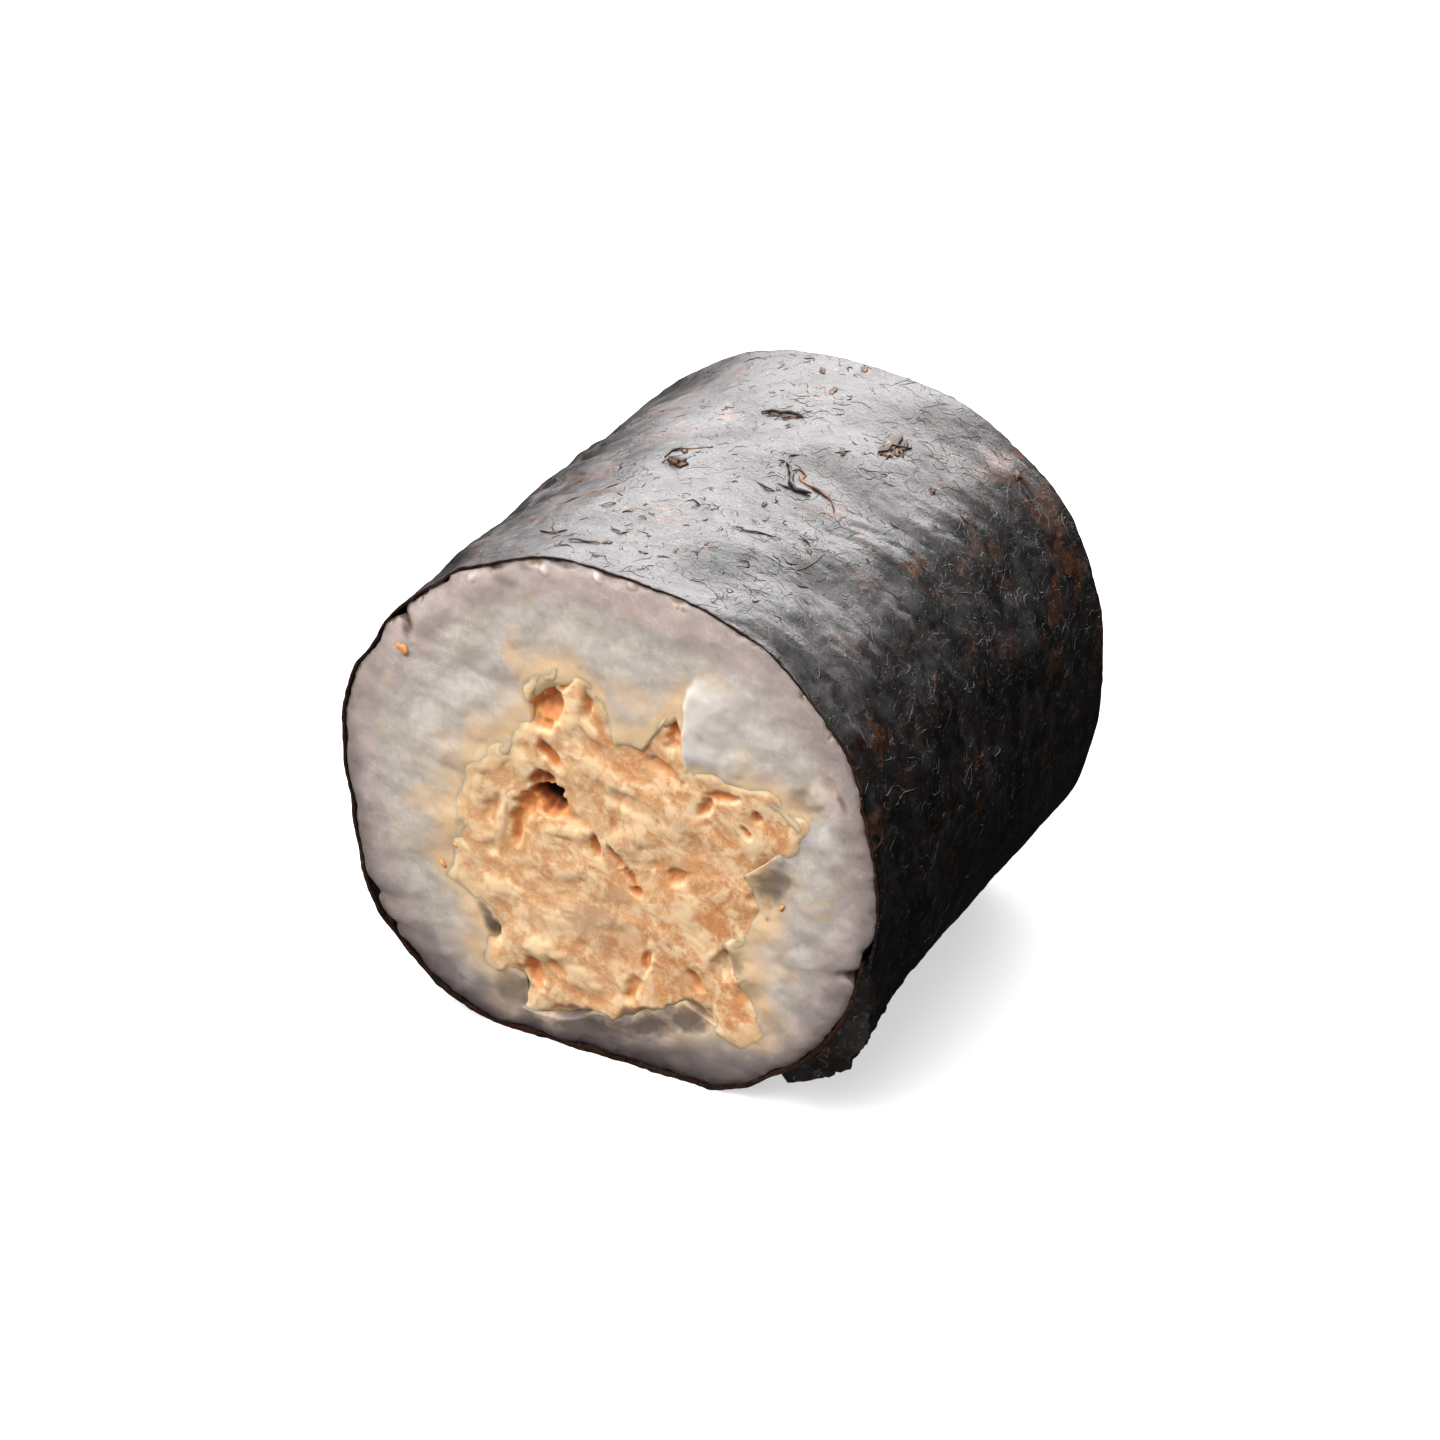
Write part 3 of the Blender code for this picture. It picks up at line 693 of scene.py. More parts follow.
def add_flake(angle, y, long, wide, direction):
    """A flake of frond, which follows the sheet and ends at its cuts."""

    def lay(arc, further, lift):
        here_y = max(-CUT_Y, min(CUT_Y, y + further))
        return nori_place(angle + math.degrees(arc / HALF_WIDTH), here_y, lift)

    return add_scrap(long, wide, wide * FLAKE_RISE, direction, FLAKE_ROUGH, (angle, y * 1000, 0), lay)


def joined(name, parts):
    """Many small parts made one piece."""
    bpy.ops.object.select_all(action="DESELECT")
    for part in parts:
        part.select_set(True)
    bpy.context.view_layer.objects.active = parts[0]
    bpy.ops.object.join()
    parts[0].name = name
    return parts[0]


flake_parts = [add_flake(*flake) for flake in FLAKES]
for _ in range(CHANCE_FLAKES):
    long = fibre_draw.uniform(0.00012, 0.00030)
    angle = fibre_draw.uniform(-40, 320)
    y = fibre_draw.uniform(-0.95, 0.95) * CUT_Y
    wide = long * fibre_draw.uniform(0.35, 0.6)
    flake_parts.append(add_flake(angle, y, long, wide, fibre_draw.uniform(0, 180)))
flakes = joined("nori_flakes", flake_parts)
frond = Finish("frond_flake", FLAKE_BROWN, Roughness=0.5)
frond.coat(FLAKE_GOLD, frond.ramp(frond.speckle(0.0005, 5.0, 0.65), 0.52, 0.66))
frond.put_on(flakes)
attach(flakes, "root")


# The rice is packed and sliced: a ring between nori and filling, so moist and pressed that its grains melt
# into one translucent mass. Along the nori they lie in one layer, and at the filling they take its oil.
RICE_STEPS_ROUND = 640
RICE_FRONT_RINGS = 76
RICE_BACK_RINGS = 44
RICE_WALL_RINGS = 6
RICE_RINGS = RICE_FRONT_RINGS + RICE_BACK_RINGS + 2 * RICE_WALL_RINGS
RICE_BACK_START = RICE_FRONT_RINGS + RICE_WALL_RINGS
RICE_BACK_END = RICE_BACK_START + RICE_BACK_RINGS
FILLING_CENTRE_X = 0.0003
FILLING_CENTRE_HEIGHT = 0.0110
FILLING_TWIST = 27
FILLING_LEAST_COVER = 0.0011
RICE_UNDERLAP = 0.0007
RICE_GAP = 0.00002
RICE_WALL_INSET = 0.0006
RICE_DIP = 0.00022
GRAIN_LONG = 0.0036
GRAIN_WIDE = 0.0023
GRAIN_SPACING = 0.0021
GRAIN_DOME = 0.00011
BAND_GRAINS = 26
BAND_DEPTH = 0.0021
BAND_STEP = 0.00004
RIM_GAP = 0.00008
RIM_ROUNDING = 0.00018
RIM_ROUNDING_REACH = 0.00028
RICE_LUMPS = [(0.0021, 0.00010), (0.0010, 0.00006), (0.00045, 0.000025)]
RICE_TORN = [(0.0006, 0.30), (0.00025, 0.15)]
RICE_OILY = [(0.0015, 0.9), (0.0005, 0.4)]
WISP_LONG = 0.0022
WISP_SHORT = 0.0010
WISP_BEND = 0.0016
WISP_RISE = 0.00002
CHANCE_NOTCHES = 16
WEDGES = 34
WEDGE_DIP = 0.00014
PROUD_WIDTH = 0.0030
PROUD_HEIGHT = 0.00030
PROUD_SIDE = 0.00022
PROUD_LOW_END = 0.0012
PROUD_HIGH_END = 0.0016
TINT_FROM = 0.0005
TINT_REACH = 0.0010
RICE_SWELL_RISE = 0.00022
RICE_HOLLOW_DEPTH = 0.00013
# The filling's outline: angle about its centre, and radius in millimetres
FILLING_OUTLINE = metres([
    (-180, 9), (-174.4, 9.1), (-164.9, 9.9), (-157.7, 9), (-145.9, 8.6), (-138.2, 10.1), (-123.9, 9.9),
    (-118.9, 11.4), (-107.4, 10.5), (-95.2, 8.9), (-84, 9), (-76, 8.2), (-66, 8), (-57, 8.1), (-50, 9.8),
    (-44.3, 11.2), (-35, 10.4), (-30, 8.5), (-17.7, 7.3), (0.6, 8.7), (16.5, 8.3), (22, 10.3), (28, 12.3),
    (33, 12), (39.3, 10.9), (48.9, 9.3), (59.5, 8.6), (66, 10.4), (70, 11.2), (73, 10), (77, 8.5), (88, 8.1),
    (92.7, 9.8), (100.9, 11.2), (110, 11), (117.3, 10.5), (122.3, 8.7), (137.8, 8.5), (150, 8.6),
    (163.4, 8.8), (180, 9),
], 1)
# Notches of the rim on the front and the back cut: angle, width in degrees, depth in millimetres
RIM_NOTCHES = {
    -1: metres([
        (142.5, 1.3, 0.8), (210, 1.5, 0.5), (217, 1.8, 0.4), (79, 4, 0.1), (101, 2, 0.1), (89, 2.2, 0.12),
        (-19, 1.4, 0.7), (26, 3, 0.1),
    ], 2),
    1: metres([
        (60, 2, 0.6), (128, 3, 0.3), (200, 1.8, 0.7), (-110, 3, 0.3), (-30, 1.6, 0.6),
    ], 2),
}
# Painted darkening of the rice near the nori: partly the black nori showing through the thin rice, partly
# painted shade, deepest at the bottom and lower left. Angle, depth in millimetres, strength
RIM_NORI_AND_PAINTED_SHADE = metres([
    (-180, 1.1, 0.6), (-150, 1.5, 0.7), (-128, 2.7, 0.92), (-100, 3.4, 0.95), (-75, 3.4, 0.95),
    (-45, 1.9, 0.64), (-10, 1.8, 0.5), (30, 1.3, 0.4), (90, 0.3, 0.2), (140, 0.5, 0.32), (165, 0.9, 0.5),
    (180, 1.1, 0.6),
], 1)
# One grain stands proud of the front cut: heights up its sharp left side, and how far across they are
PROUD_EDGE = metres([
    (18.3, 4.4), (19.5, 4.2), (21, 4.3), (22.2, 4.4), (22.9, 4.6), (24, 5.1),
], 0, 1)


def both_cuts(front, back):
    """Soft oval spots of the front and the back cut, with their places and sizes turned into metres."""
    return {-1: metres(front, 0, 1, 2, 3), 1: metres(back, 0, 1, 2, 3)}


# Each spot is across, height, half length and half width in millimetres, direction in degrees, strength
# The hollows are dips between the grains that the material also paints dark, a painted shade.
RICE_HOLLOWS = both_cuts([
    (11, 18.3, 1.1, 0.8, 0, 0.42), (12.3, 19.8, 0.6, 0.5, -25, 0.4), (9.2, 13.1, 1.6, 1.1, 60, 0.8),
    (6.9, 7.8, 1.2, 0.7, 40, 0.6), (8.2, 6.5, 1, 0.6, 20, 0.4), (-6.8, 6, 1.2, 0.4, 115, 0.95),
    (-5.7, 2.3, 1.5, 1, 60, 0.75), (-1.4, 1.4, 2.6, 1, 5, 0.95), (2.2, 2.6, 2.2, 0.9, 25, 0.95),
    (4.6, 3.8, 1.5, 0.9, 20, 0.9), (-9.4, 2.2, 1.3, 0.9, -30, 0.75), (-11.2, 22, 0.7, 0.3, 85, 0.3),
    (6, 20.5, 1, 0.5, 10, 0.18), (-9.8, 9.5, 1.8, 1, 60, 0.18), (13.6, 9.2, 0.9, 0.3, 15, 0.5),
], [
    (9, 19, 1.1, 0.8, 30, 0.55), (-10, 16, 0.8, 1, 0, 0.5), (-8.5, 6, 1.2, 0.7, 50, 0.7),
    (6.8, 4, 1.4, 0.6, -20, 0.75), (1.5, 23.5, 0.8, 0.6, 0, 0.4),
])
# The swells are raised lumps that the material paints paler, a painted highlight; the smallest ones along the
# top of the rim are painted glints.
RICE_SWELLS = both_cuts([
    (7, 19.2, 1.1, 0.6, 60, 0.4), (9.2, 21.2, 1.4, 0.8, 25, 0.35), (11.6, 18.8, 1, 0.5, 60, 0.45),
    (12.6, 16.5, 1.8, 0.7, 95, 0.4), (-7.5, 19.5, 2.2, 1.2, 40, 0.22), (-10, 15, 2, 1, 100, 0.25),
    (-0.5, 24, 2.2, 1.2, 0, 0.2), (8, 5, 1.6, 0.8, -40, 0.3), (9.5, 8.5, 1.2, 0.7, 80, 0.25),
    (-3.2, 27.3, 0.3, 0.2, -60, 0.5), (-0.3, 27.7, 0.3, 0.2, -50, 0.6), (1.5, 27.8, 0.3, 0.2, -50, 0.5),
    (-7.3, 25.9, 0.3, 0.2, 60, 0.5),
], [
    (6, 21.5, 1.5, 0.8, 100, 0.7), (-6, 22.5, 1.8, 0.9, 30, 0.4), (-11, 12, 1.6, 0.8, 80, 0.4),
    (11.5, 12, 1.8, 0.8, 90, 0.4),
])
TAN_STAINS = both_cuts([
    (1.8, 21.5, 2.2, 1.1, -15, 0.5), (6, 23.7, 1.2, 0.5, -20, 0.45), (3.8, 20.8, 0.9, 0.9, 0, 0.95),
    (7.4, 19, 2, 1, 10, 0.45), (10, 13.5, 1.2, 0.8, 60, 0.5), (-12.4, 18.9, 0.3, 0.3, 0, 0.35),
    (-12.8, 16.1, 0.3, 0.3, 0, 0.35), (-7.8, 10.5, 2.2, 1, 95, 0.5),
], [
    (8, 14, 2, 1, 80, 0.5), (-4, 21, 1.8, 0.8, 10, 0.5),
])
BROWN_STAINS = both_cuts([
    (-11.2, 22.4, 0.8, 0.4, 95, 0.9), (-6, 26.8, 0.6, 0.2, 20, 1), (-5.4, 26.2, 0.8, 0.4, 0, 0.35),
    (-4.2, 27.3, 0.5, 0.3, 0, 0.4), (-2.2, 27.9, 0.9, 0.2, 5, 0.8), (0.3, 27.9, 0.5, 0.3, 0, 0.5),
    (2.9, 27.9, 0.9, 0.2, -10, 1), (13.8, 9.2, 0.6, 0.3, 20, 0.9), (13, 19, 0.6, 0.2, -65, 0.5),
], [
    (7, 26.3, 0.8, 0.3, -20, 1), (-12.8, 9, 0.7, 0.3, 60, 0.8),
])


def layered(place, layers, seed=0.0):
    """Noise in layers, each with its size and height."""
    return sum(height * noise.noise(place / size + Vector((0, 0, seed))) for size, height in layers)


def between_rows(rows, value):
    """The two rows that a value in a table's first column lies between, and how far it is past the first."""
    for first, second in zip(rows, rows[1:]):
        if value <= second[0]:
            break
    return first, second, (value - first[0]) / (second[0] - first[0])


def filling_place(turn, y, outwards):
    """A point at a turn on the filling's lobed outline, which twists along the roll, held inside the rice."""
    angle = math.radians(turn)
    turn = turn_between(turn + FILLING_TWIST * (y + CUT_Y) / ROLL_LENGTH, 0)
    first, second, share = between_rows(FILLING_OUTLINE, turn)
    radius = first[1] + (second[1] - first[1]) * share + outwards
    x = FILLING_CENTRE_X + radius * math.cos(angle)
    height = FILLING_CENTRE_HEIGHT + radius * math.sin(angle) - ROLL_AXIS_HEIGHT
    bearing = math.degrees(math.atan2(height, x))
    limit = outline_radius(bearing, y) - lap_depth(bearing) - FILLING_LEAST_COVER
    return around_axis(bearing, min(math.hypot(x, height), limit), y, FILLING_LEAST_COVER)


def rice_outside(angle, y):
    """A point of the rice's outer surface, just inside the nori."""
    along = (SHEET_START - angle) % 360
    inset = edge_thickness(along, y) + RICE_GAP
    radius = outline_radius(angle, y) + nori_relief(along, y) - lap_depth(angle)
    return around_axis(angle, radius - inset, y, inset)


def rim_gap(angle, side):
    """How far the rice is drawn in from the nori at a cut: a little everywhere, more at its notches."""
    turn = math.radians(angle)
    drawn_in = wave(math.cos(turn) * 11, math.sin(turn) * 11, side * 3)
    gap = RIM_GAP * smooth_step(0.4 + 1.6 * drawn_in)
    for middle, width, depth in RIM_NOTCHES[side] + chance_notches[side]:
        gap += depth * bell(turn_between(angle, middle), width)
    return gap


def wedge_share(bearing, from_rim, side):
    """How far a place lies in one of the brown wedges where two grains part at the nori."""
    strongest = 0
    for middle, half, depth, strength in wedges[side]:
        aside = abs(math.radians(turn_between(bearing, middle))) * HALF_WIDTH
        if aside < half and from_rim < depth:
            inside = 1 - aside / half - from_rim / depth
            along_top = 0.3 + 0.7 * smooth_step(math.sin(math.radians(bearing)) * 1.6)
            strongest = max(strongest, strength * along_top * smooth_step(inside / 0.45))
    return strongest


def lay_grains(y, draw):
    """Middle, direction, half length and half width of each grain that a cut face shows."""
    grains = []
    for number in range(BAND_GRAINS):
        angle = 360 * (number + draw.uniform(-0.25, 0.25)) / BAND_GRAINS
        edge = rice_outside(angle, y)
        inward = Vector((-edge.x, 0, ROLL_AXIS_HEIGHT - edge.z)).normalized()
        middle = edge + inward * BAND_DEPTH * draw.uniform(0.35, 0.55)
        direction = math.atan2(-inward.x, inward.z) + draw.uniform(-0.2, 0.2)
        long = GRAIN_LONG / 2 * draw.uniform(0.85, 1.1)
        grains.append((middle.x, middle.z, direction, long, BAND_DEPTH / 2 * draw.uniform(0.9, 1.1)))
    for row in range(round(ROLL_HEIGHT / GRAIN_SPACING)):
        for column in range(round(ROLL_WIDTH / GRAIN_SPACING)):
            x = -HALF_WIDTH + (column + (row % 2) / 2 + draw.uniform(-0.4, 0.4)) * GRAIN_SPACING
            z = (row + draw.uniform(-0.4, 0.4)) * GRAIN_SPACING * 0.93
            edge = rice_outside(math.degrees(math.atan2(z - ROLL_AXIS_HEIGHT, x)), y)
            depth = math.hypot(edge.x, edge.z - ROLL_AXIS_HEIGHT) - math.hypot(x, z - ROLL_AXIS_HEIGHT)
            size = draw.uniform(0.8, 1.1)
            direction = draw.uniform(0, math.pi)
            if depth > BAND_DEPTH * 1.15:
                grains.append((x, z, direction, GRAIN_LONG / 2 * size, GRAIN_WIDE / 2 * size))
    tree = kdtree.KDTree(len(grains))
    for index, grain in enumerate(grains):
        tree.insert((grain[0], grain[1], 0), index)
    tree.balance()
    return grains, tree


def off_oval(aside, above, long, wide, turn):
    """How far a place is from the middle of an oval, in the oval's own half sizes."""
    along = (aside * math.cos(turn) + above * math.sin(turn)) / long
    across = (above * math.cos(turn) - aside * math.sin(turn)) / wide
    return math.hypot(along, across)


def off_grain(place, side):
    """How far a place is from the middle of the grain it lies on, in the grain's own half sizes."""
    grains, tree = face_grains[side]
    nearest = 1.0
    for _, index, _ in tree.find_n((place.x, place.z, 0), 6):
        x, z, turn, long, wide = grains[index]
        nearest = min(nearest, off_oval(place.x - x, place.z - z, long, wide, turn))
    return nearest


def spots_share(place, spots, ragged=0.0, core=0.35):
    """The strongest of the soft oval spots at a place. Each is full at its core and fades from there."""
    strongest = 0
    for x, height, long, wide, direction, strength in spots:
        aside = place.x - x
        above = place.z - height
        if abs(aside) + abs(above) < 3 * (long + wide):
            distance = off_oval(aside, above, long, wide, math.radians(direction)) + ragged
            strongest = max(strongest, strength * (1 - smooth_step(distance - core)))
    return strongest


def proud_share(place):
    """How far a place is up on the one proud grain, sharp at its left side and fading to its right."""
    lowest = PROUD_EDGE[0][0]
    highest = PROUD_EDGE[-1][0]
    if not lowest < place.z < highest:
        return 0
    low, high, share = between_rows(PROUD_EDGE, place.z)
    aside = place.x - low[1] - (high[1] - low[1]) * share - 0.0001 * noise.noise(place / 0.0005)
    ends = smooth_step((place.z - lowest) / PROUD_LOW_END) * smooth_step((highest - place.z) / PROUD_HIGH_END)
    return smooth_step(aside / PROUD_SIDE) * bell(max(aside, 0), PROUD_WIDTH) * ends


def rice_spots(flat, side):
    """How far a place on a cut lies in a hollow, on a swell and on the one proud grain."""
    ragged = layered(flat, RICE_TORN)
    hollow = spots_share(flat, RICE_HOLLOWS[side], ragged)
    swell = spots_share(flat, RICE_SWELLS[side], ragged * 0.5)
    return hollow, swell, proud_share(flat) if side < 0 else 0


def rice_lumps(flat, side, hollow, swell, proud):
    """Height of the melted grains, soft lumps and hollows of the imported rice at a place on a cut."""
    clear = smooth_step(0.5 + 1.2 * noise.noise(flat / 0.0050 + Vector((3, 0, side * 4))))
    lumps = GRAIN_DOME * (1 - off_grain(flat, side) ** 2) * clear + layered(flat, RICE_LUMPS, side * 7)
    return lumps + RICE_SWELL_RISE * swell - RICE_HOLLOW_DEPTH * hollow + PROUD_HEIGHT * proud


def rice_surface(outer, inner, share, side):
    """A point of a cut face between its rim and the filling, and the masks that colour it there."""
    flat = outer.lerp(inner, share)
    from_rim = (outer - flat).length
    from_filling = (flat - inner).length - RICE_UNDERLAP
    hollow, swell, proud = rice_spots(flat, side)
    radius = math.hypot(flat.x, flat.z - ROLL_AXIS_HEIGHT)
    bearing = math.atan2(flat.z - ROLL_AXIS_HEIGHT, flat.x)
    bent = WISP_BEND * noise.noise(flat / 0.0026)
    wisp_place = Vector((math.cos(bearing), math.sin(bearing), 0)) * (HALF_WIDTH * 0.7 / WISP_SHORT)
    wisp_place += Vector((bent / WISP_SHORT, 0, radius / WISP_LONG + side * 5))
    wisp = noise.fractal(wisp_place, 0.9, 2.0, 3)
    bearing = math.degrees(bearing)
    ragged = layered(flat, RICE_TORN)
    band = smooth_step((BAND_DEPTH - from_rim) / 0.0010 + 0.5)
    wedge = wedge_share(bearing + 2.5 * noise.noise(flat / 0.0004), from_rim, side)
    worn = 0.0005 * noise.noise(flat / 0.0011 + Vector((0, 0, 11)))
    relief = rice_lumps(flat, side, hollow, swell, proud) + BAND_STEP * band + WISP_RISE * wisp
    relief -= RIM_ROUNDING * math.exp(-from_rim / RIM_ROUNDING_REACH) + WEDGE_DIP * wedge
    relief -= RICE_DIP * smooth_step((0.4 * worn - from_filling - 0.0003) / 0.0006) * (1 - proud)
    # Painted shade: the rice darkens towards the nori, where the nori also shows through, most at the bottom
    first, second, further = between_rows(RIM_NORI_AND_PAINTED_SHADE, bearing)
    reach, strength = (first[k] + (second[k] - first[k]) * smooth_step(further) for k in (1, 2))
    patchy = 1 + 0.9 * noise.noise(flat / 0.0014 + Vector((1, 0, 0)))
    shade = strength * math.exp(-((from_rim / reach * patchy) ** 1.5))
    oily = (1 + layered(flat, RICE_OILY)) * max(0, from_filling - TINT_FROM) / TINT_REACH
    tinted = 0.95 * math.exp(-(oily**1.3)) * (1 - 0.9 * shade)
    tan = max(tinted, wedge, spots_share(flat, TAN_STAINS[side], ragged))
    masks = {
        # painted shade: the darkening by the nori, and the hollows painted dark
        "shade": max(shade, 0.85 * hollow),
        "tinted": tan * (1 - min(1, proud * 1.5)),
        "stain": max(0.65 * wedge, spots_share(flat, BROWN_STAINS[side], ragged)),
        "pale": max(swell, proud),
        "band": band,
        "wisp": wisp,
    }
    return flat + Vector((0, side * relief, 0)), masks


def rice_point(across, ring):
    """Where a corner of the grid lies: its rings run in over the front, along the hole, out and home."""
    turn = across * 180
    ring %= RICE_RINGS
    if ring <= RICE_FRONT_RINGS or RICE_BACK_START <= ring <= RICE_BACK_END:
        side = -1 if ring <= RICE_FRONT_RINGS else 1
        share = ring / RICE_FRONT_RINGS if side < 0 else (RICE_BACK_END - ring) / RICE_BACK_RINGS
        key = (side, round(turn, 4))
        if key not in rims:
            outer = rice_outside(turn, side * CUT_Y)
            inner = filling_place(turn, side * CUT_Y, -RICE_UNDERLAP)
            rims[key] = (outer + (inner - outer).normalized() * rim_gap(turn, side), inner)
        return rice_surface(*rims[key], share**1.15, side)
    if ring < RICE_BACK_START:
        share = (ring - RICE_FRONT_RINGS) / RICE_WALL_RINGS
        return filling_place(turn, -CUT_Y + ROLL_LENGTH * share, -RICE_UNDERLAP), {}
    share = (RICE_RINGS - ring) / RICE_WALL_RINGS
    inwards = -Vector((math.cos(math.radians(turn)), 0, math.sin(math.radians(turn))))
    return rice_outside(turn, -CUT_Y * math.cos(math.pi * share)) + inwards * RICE_WALL_INSET, {}


grain_draw = random.Random(12)
face_grains = {side: lay_grains(side * CUT_Y, grain_draw) for side in (-1, 1)}


def drawn(count, *ranges):
    """For each of the two cuts, rows of numbers drawn from their ranges."""
    return {side: [[grain_draw.uniform(*ends) for ends in ranges] for _ in range(count)] for side in (-1, 1)}


chance_notches = drawn(CHANCE_NOTCHES, (-180, 180), (0.5, 1.3), (0.00003, 0.00012))
wedges = drawn(WEDGES, (-0.3, 0.3), (0.0003, 0.0007), (0.0004, 0.0009), (0.1, 1.0))
for side in (-1, 1):
    for number, wedge in enumerate(wedges[side]):
        wedge[0] = 360 * (number + wedge[0]) / WEDGES
rims = {}
rice = wrapped("rice_packed", RICE_STEPS_ROUND, RICE_RINGS, rice_point, 180)

RICE_WHITE = (0.63, 0.582, 0.535)
RICE_GREY = (0.51, 0.465, 0.405)
RICE_MAUVE = (0.52, 0.45, 0.425)
RICE_BAND = (0.56, 0.45, 0.425)
RICE_PALE_AND_HIGHLIGHT = (0.75, 0.695, 0.645)
RICE_TAN = (0.81, 0.575, 0.345)
RICE_NORI_AND_PAINTED_SHADE = (0.046, 0.036, 0.040)
RICE_STAIN = (0.075, 0.030, 0.014)
starch = Finish("sushi_rice", RICE_GREY, Roughness=0.38, Subsurface_Weight=1.0, Subsurface_Scale=0.0007)
starch.shader.inputs["Subsurface Radius"].default_value = (1.0, 0.85, 0.7)
clouds = starch.speckle(0.0007)
fine = starch.times(starch.plus(starch.speckle(0.00032, 5.0, 0.6), -0.5), 0.7)
wisps = starch.plus(starch.times(starch.painted("wisp"), 0.12), starch.speckle(0.0024, 7.0, 0.6))
wisps = starch.plus(wisps, fine)
starch.coat(RICE_WHITE, starch.ramp(wisps, 0.24, 0.76))
starch.coat(RICE_MAUVE, starch.ramp(clouds, 0.44, 0.68, 0.0, 0.5))
starch.coat(RICE_BAND, starch.times(starch.painted("band"), starch.ramp(wisps, 0.2, 0.8, 0.9, 0.5)))
starch.coat(RICE_TAN, starch.times(starch.painted("tinted"), starch.ramp(clouds, 0.2, 0.5, 0.65, 1.0)))
veins = starch.most(starch.hair_lines(0.0011, 0.030, 0.46), starch.hair_lines(0.0005, 0.040, 0.48))
starch.coat(RICE_PALE_AND_HIGHLIGHT, starch.times(veins, 0.30))
# Painted highlight: the swells and the proud grain are painted paler where they rise, the grain partly for
# its own white
starch.coat(RICE_PALE_AND_HIGHLIGHT, starch.painted("pale"))
# Painted shade near the nori and in the hollows, where the nori also shows through the rice
starch.coat(RICE_NORI_AND_PAINTED_SHADE, starch.painted("shade"))
starch.coat(RICE_STAIN, starch.painted("stain"))
starch.roughen(starch.speckle(0.00028), 0.4, 0.00005)
starch.put_on(rice)
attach(rice, "root")
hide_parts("rice")


# The filling is cooked tuna, flaked and worked into a creamy mass: a lobed column through the rice, torn
# rather than cut, with soft lumps and fibres, pits between them, and holes where flakes have come away.
TUNA_STEPS_ROUND = 480
TUNA_FRONT_RINGS = 110
TUNA_BACK_RINGS = 66
TUNA_WALL_RINGS = 6
TUNA_RINGS = TUNA_FRONT_RINGS + TUNA_WALL_RINGS + TUNA_BACK_RINGS
TUNA_WALL_INSET = 0.001
TUNA_OVERLAP = 0.0009
TUNA_EDGE_RISE = 0.00004
TUNA_EDGE_RAGGED = 0.0005
TUNA_DIP = 0.00010
TUNA_DOME = 0.00003
TUNA_RIDGE_RISE = 0.00015
TUNA_CHUNK_DEPTH = 0.00018
TUNA_DRAWN_IN = 0.0008
TUNA_LUMPS = [(0.0036, 0.00017), (0.0016, 0.00010), (0.0008, 0.00004)]
TUNA_CRUMBS = [(0.0011, 0.000026), (0.00055, 0.000015), (0.00030, 0.000008)]
TUNA_FIBRE_LONG = 0.0016
TUNA_FIBRE_SHORT = 0.00034
TUNA_FIBRE_HEIGHT = 0.000028
FIBRE_DIRECTIONS = (-28, 78)
PIT_TORN = [(0.0009, 0.55), (0.00035, 0.25)]
# The pits' strength is their depth in millimetres; the material paints them orange, red and near black the
# deeper they are, partly painted shade
TUNA_PITS = both_cuts([
    (-3.2, 19.8, 1.4, 0.9, 50, 0.8), (-2.2, 21.6, 1.1, 0.4, 70, 0.8), (-3.1, 17.1, 0.8, 0.4, -45, 0.9),
    (-3.6, 15.3, 0.7, 0.6, 0, 1), (-3.3, 14.4, 0.9, 0.8, 20, 2.8), (-4.4, 13.6, 1.2, 0.7, 50, 0.6),
    (-5.2, 12.1, 0.9, 0.3, 95, 0.42), (-2.4, 13.8, 1, 0.4, -15, 0.3), (-6.6, 13, 1.2, 0.6, 60, 0.14),
    (-6.7, 10.6, 0.6, 0.4, 60, 0.14), (-0.9, 20.4, 0.8, 0.3, 80, 0.36), (4, 20.7, 1.2, 0.6, 75, 1.3),
    (-0.6, 12.5, 0.7, 0.3, 95, 0.6), (0.6, 12, 0.7, 0.2, -50, 0.54), (1.3, 11.2, 0.7, 0.2, -50, 1.1),
    (1.7, 10.4, 0.3, 0.3, 0, 0.6), (6.7, 17.4, 1.2, 0.3, 12, 0.6), (5.5, 16.5, 0.9, 0.3, 60, 0.36),
    (8.4, 16.7, 0.3, 0.3, 0, 0.54), (7.8, 15.7, 0.5, 0.2, -50, 0.48), (-4.3, 3.9, 0.9, 0.5, -60, 0.6),
    (-3, 4.6, 0.9, 0.3, -50, 0.3), (1.4, 4.6, 0.9, 0.4, 70, 0.3), (2.2, 6.4, 0.9, 0.3, 70, 0.36),
    (5, 6.3, 0.6, 0.3, -60, 0.42), (3, 18, 1.4, 0.3, -25, 0.3), (1.5, 15.4, 1.4, 0.6, -20, 0.18),
    (4, 12, 0.6, 0.5, 30, 0.3),
], [
    (3.1, 14.2, 1.2, 0.7, 30, 2.2), (4.4, 14.9, 1.2, 0.5, -50, 0.9), (-4.2, 8.8, 1.4, 0.5, -20, 1.2),
    (1.2, 18.6, 1, 0.4, 60, 1.2), (-1, 12, 1.2, 0.4, -40, 0.6), (4.5, 8, 1, 0.5, 70, 0.54),
    (-3, 16, 0.9, 0.4, 20, 0.54), (1, 5.5, 1.2, 0.5, 10, 0.54),
])
TUNA_CHUNKS = both_cuts([(0.6, 6.6, 1.7, 1.2, 62, 1)], [(-2, 6, 1.6, 1.1, 20, 1)])
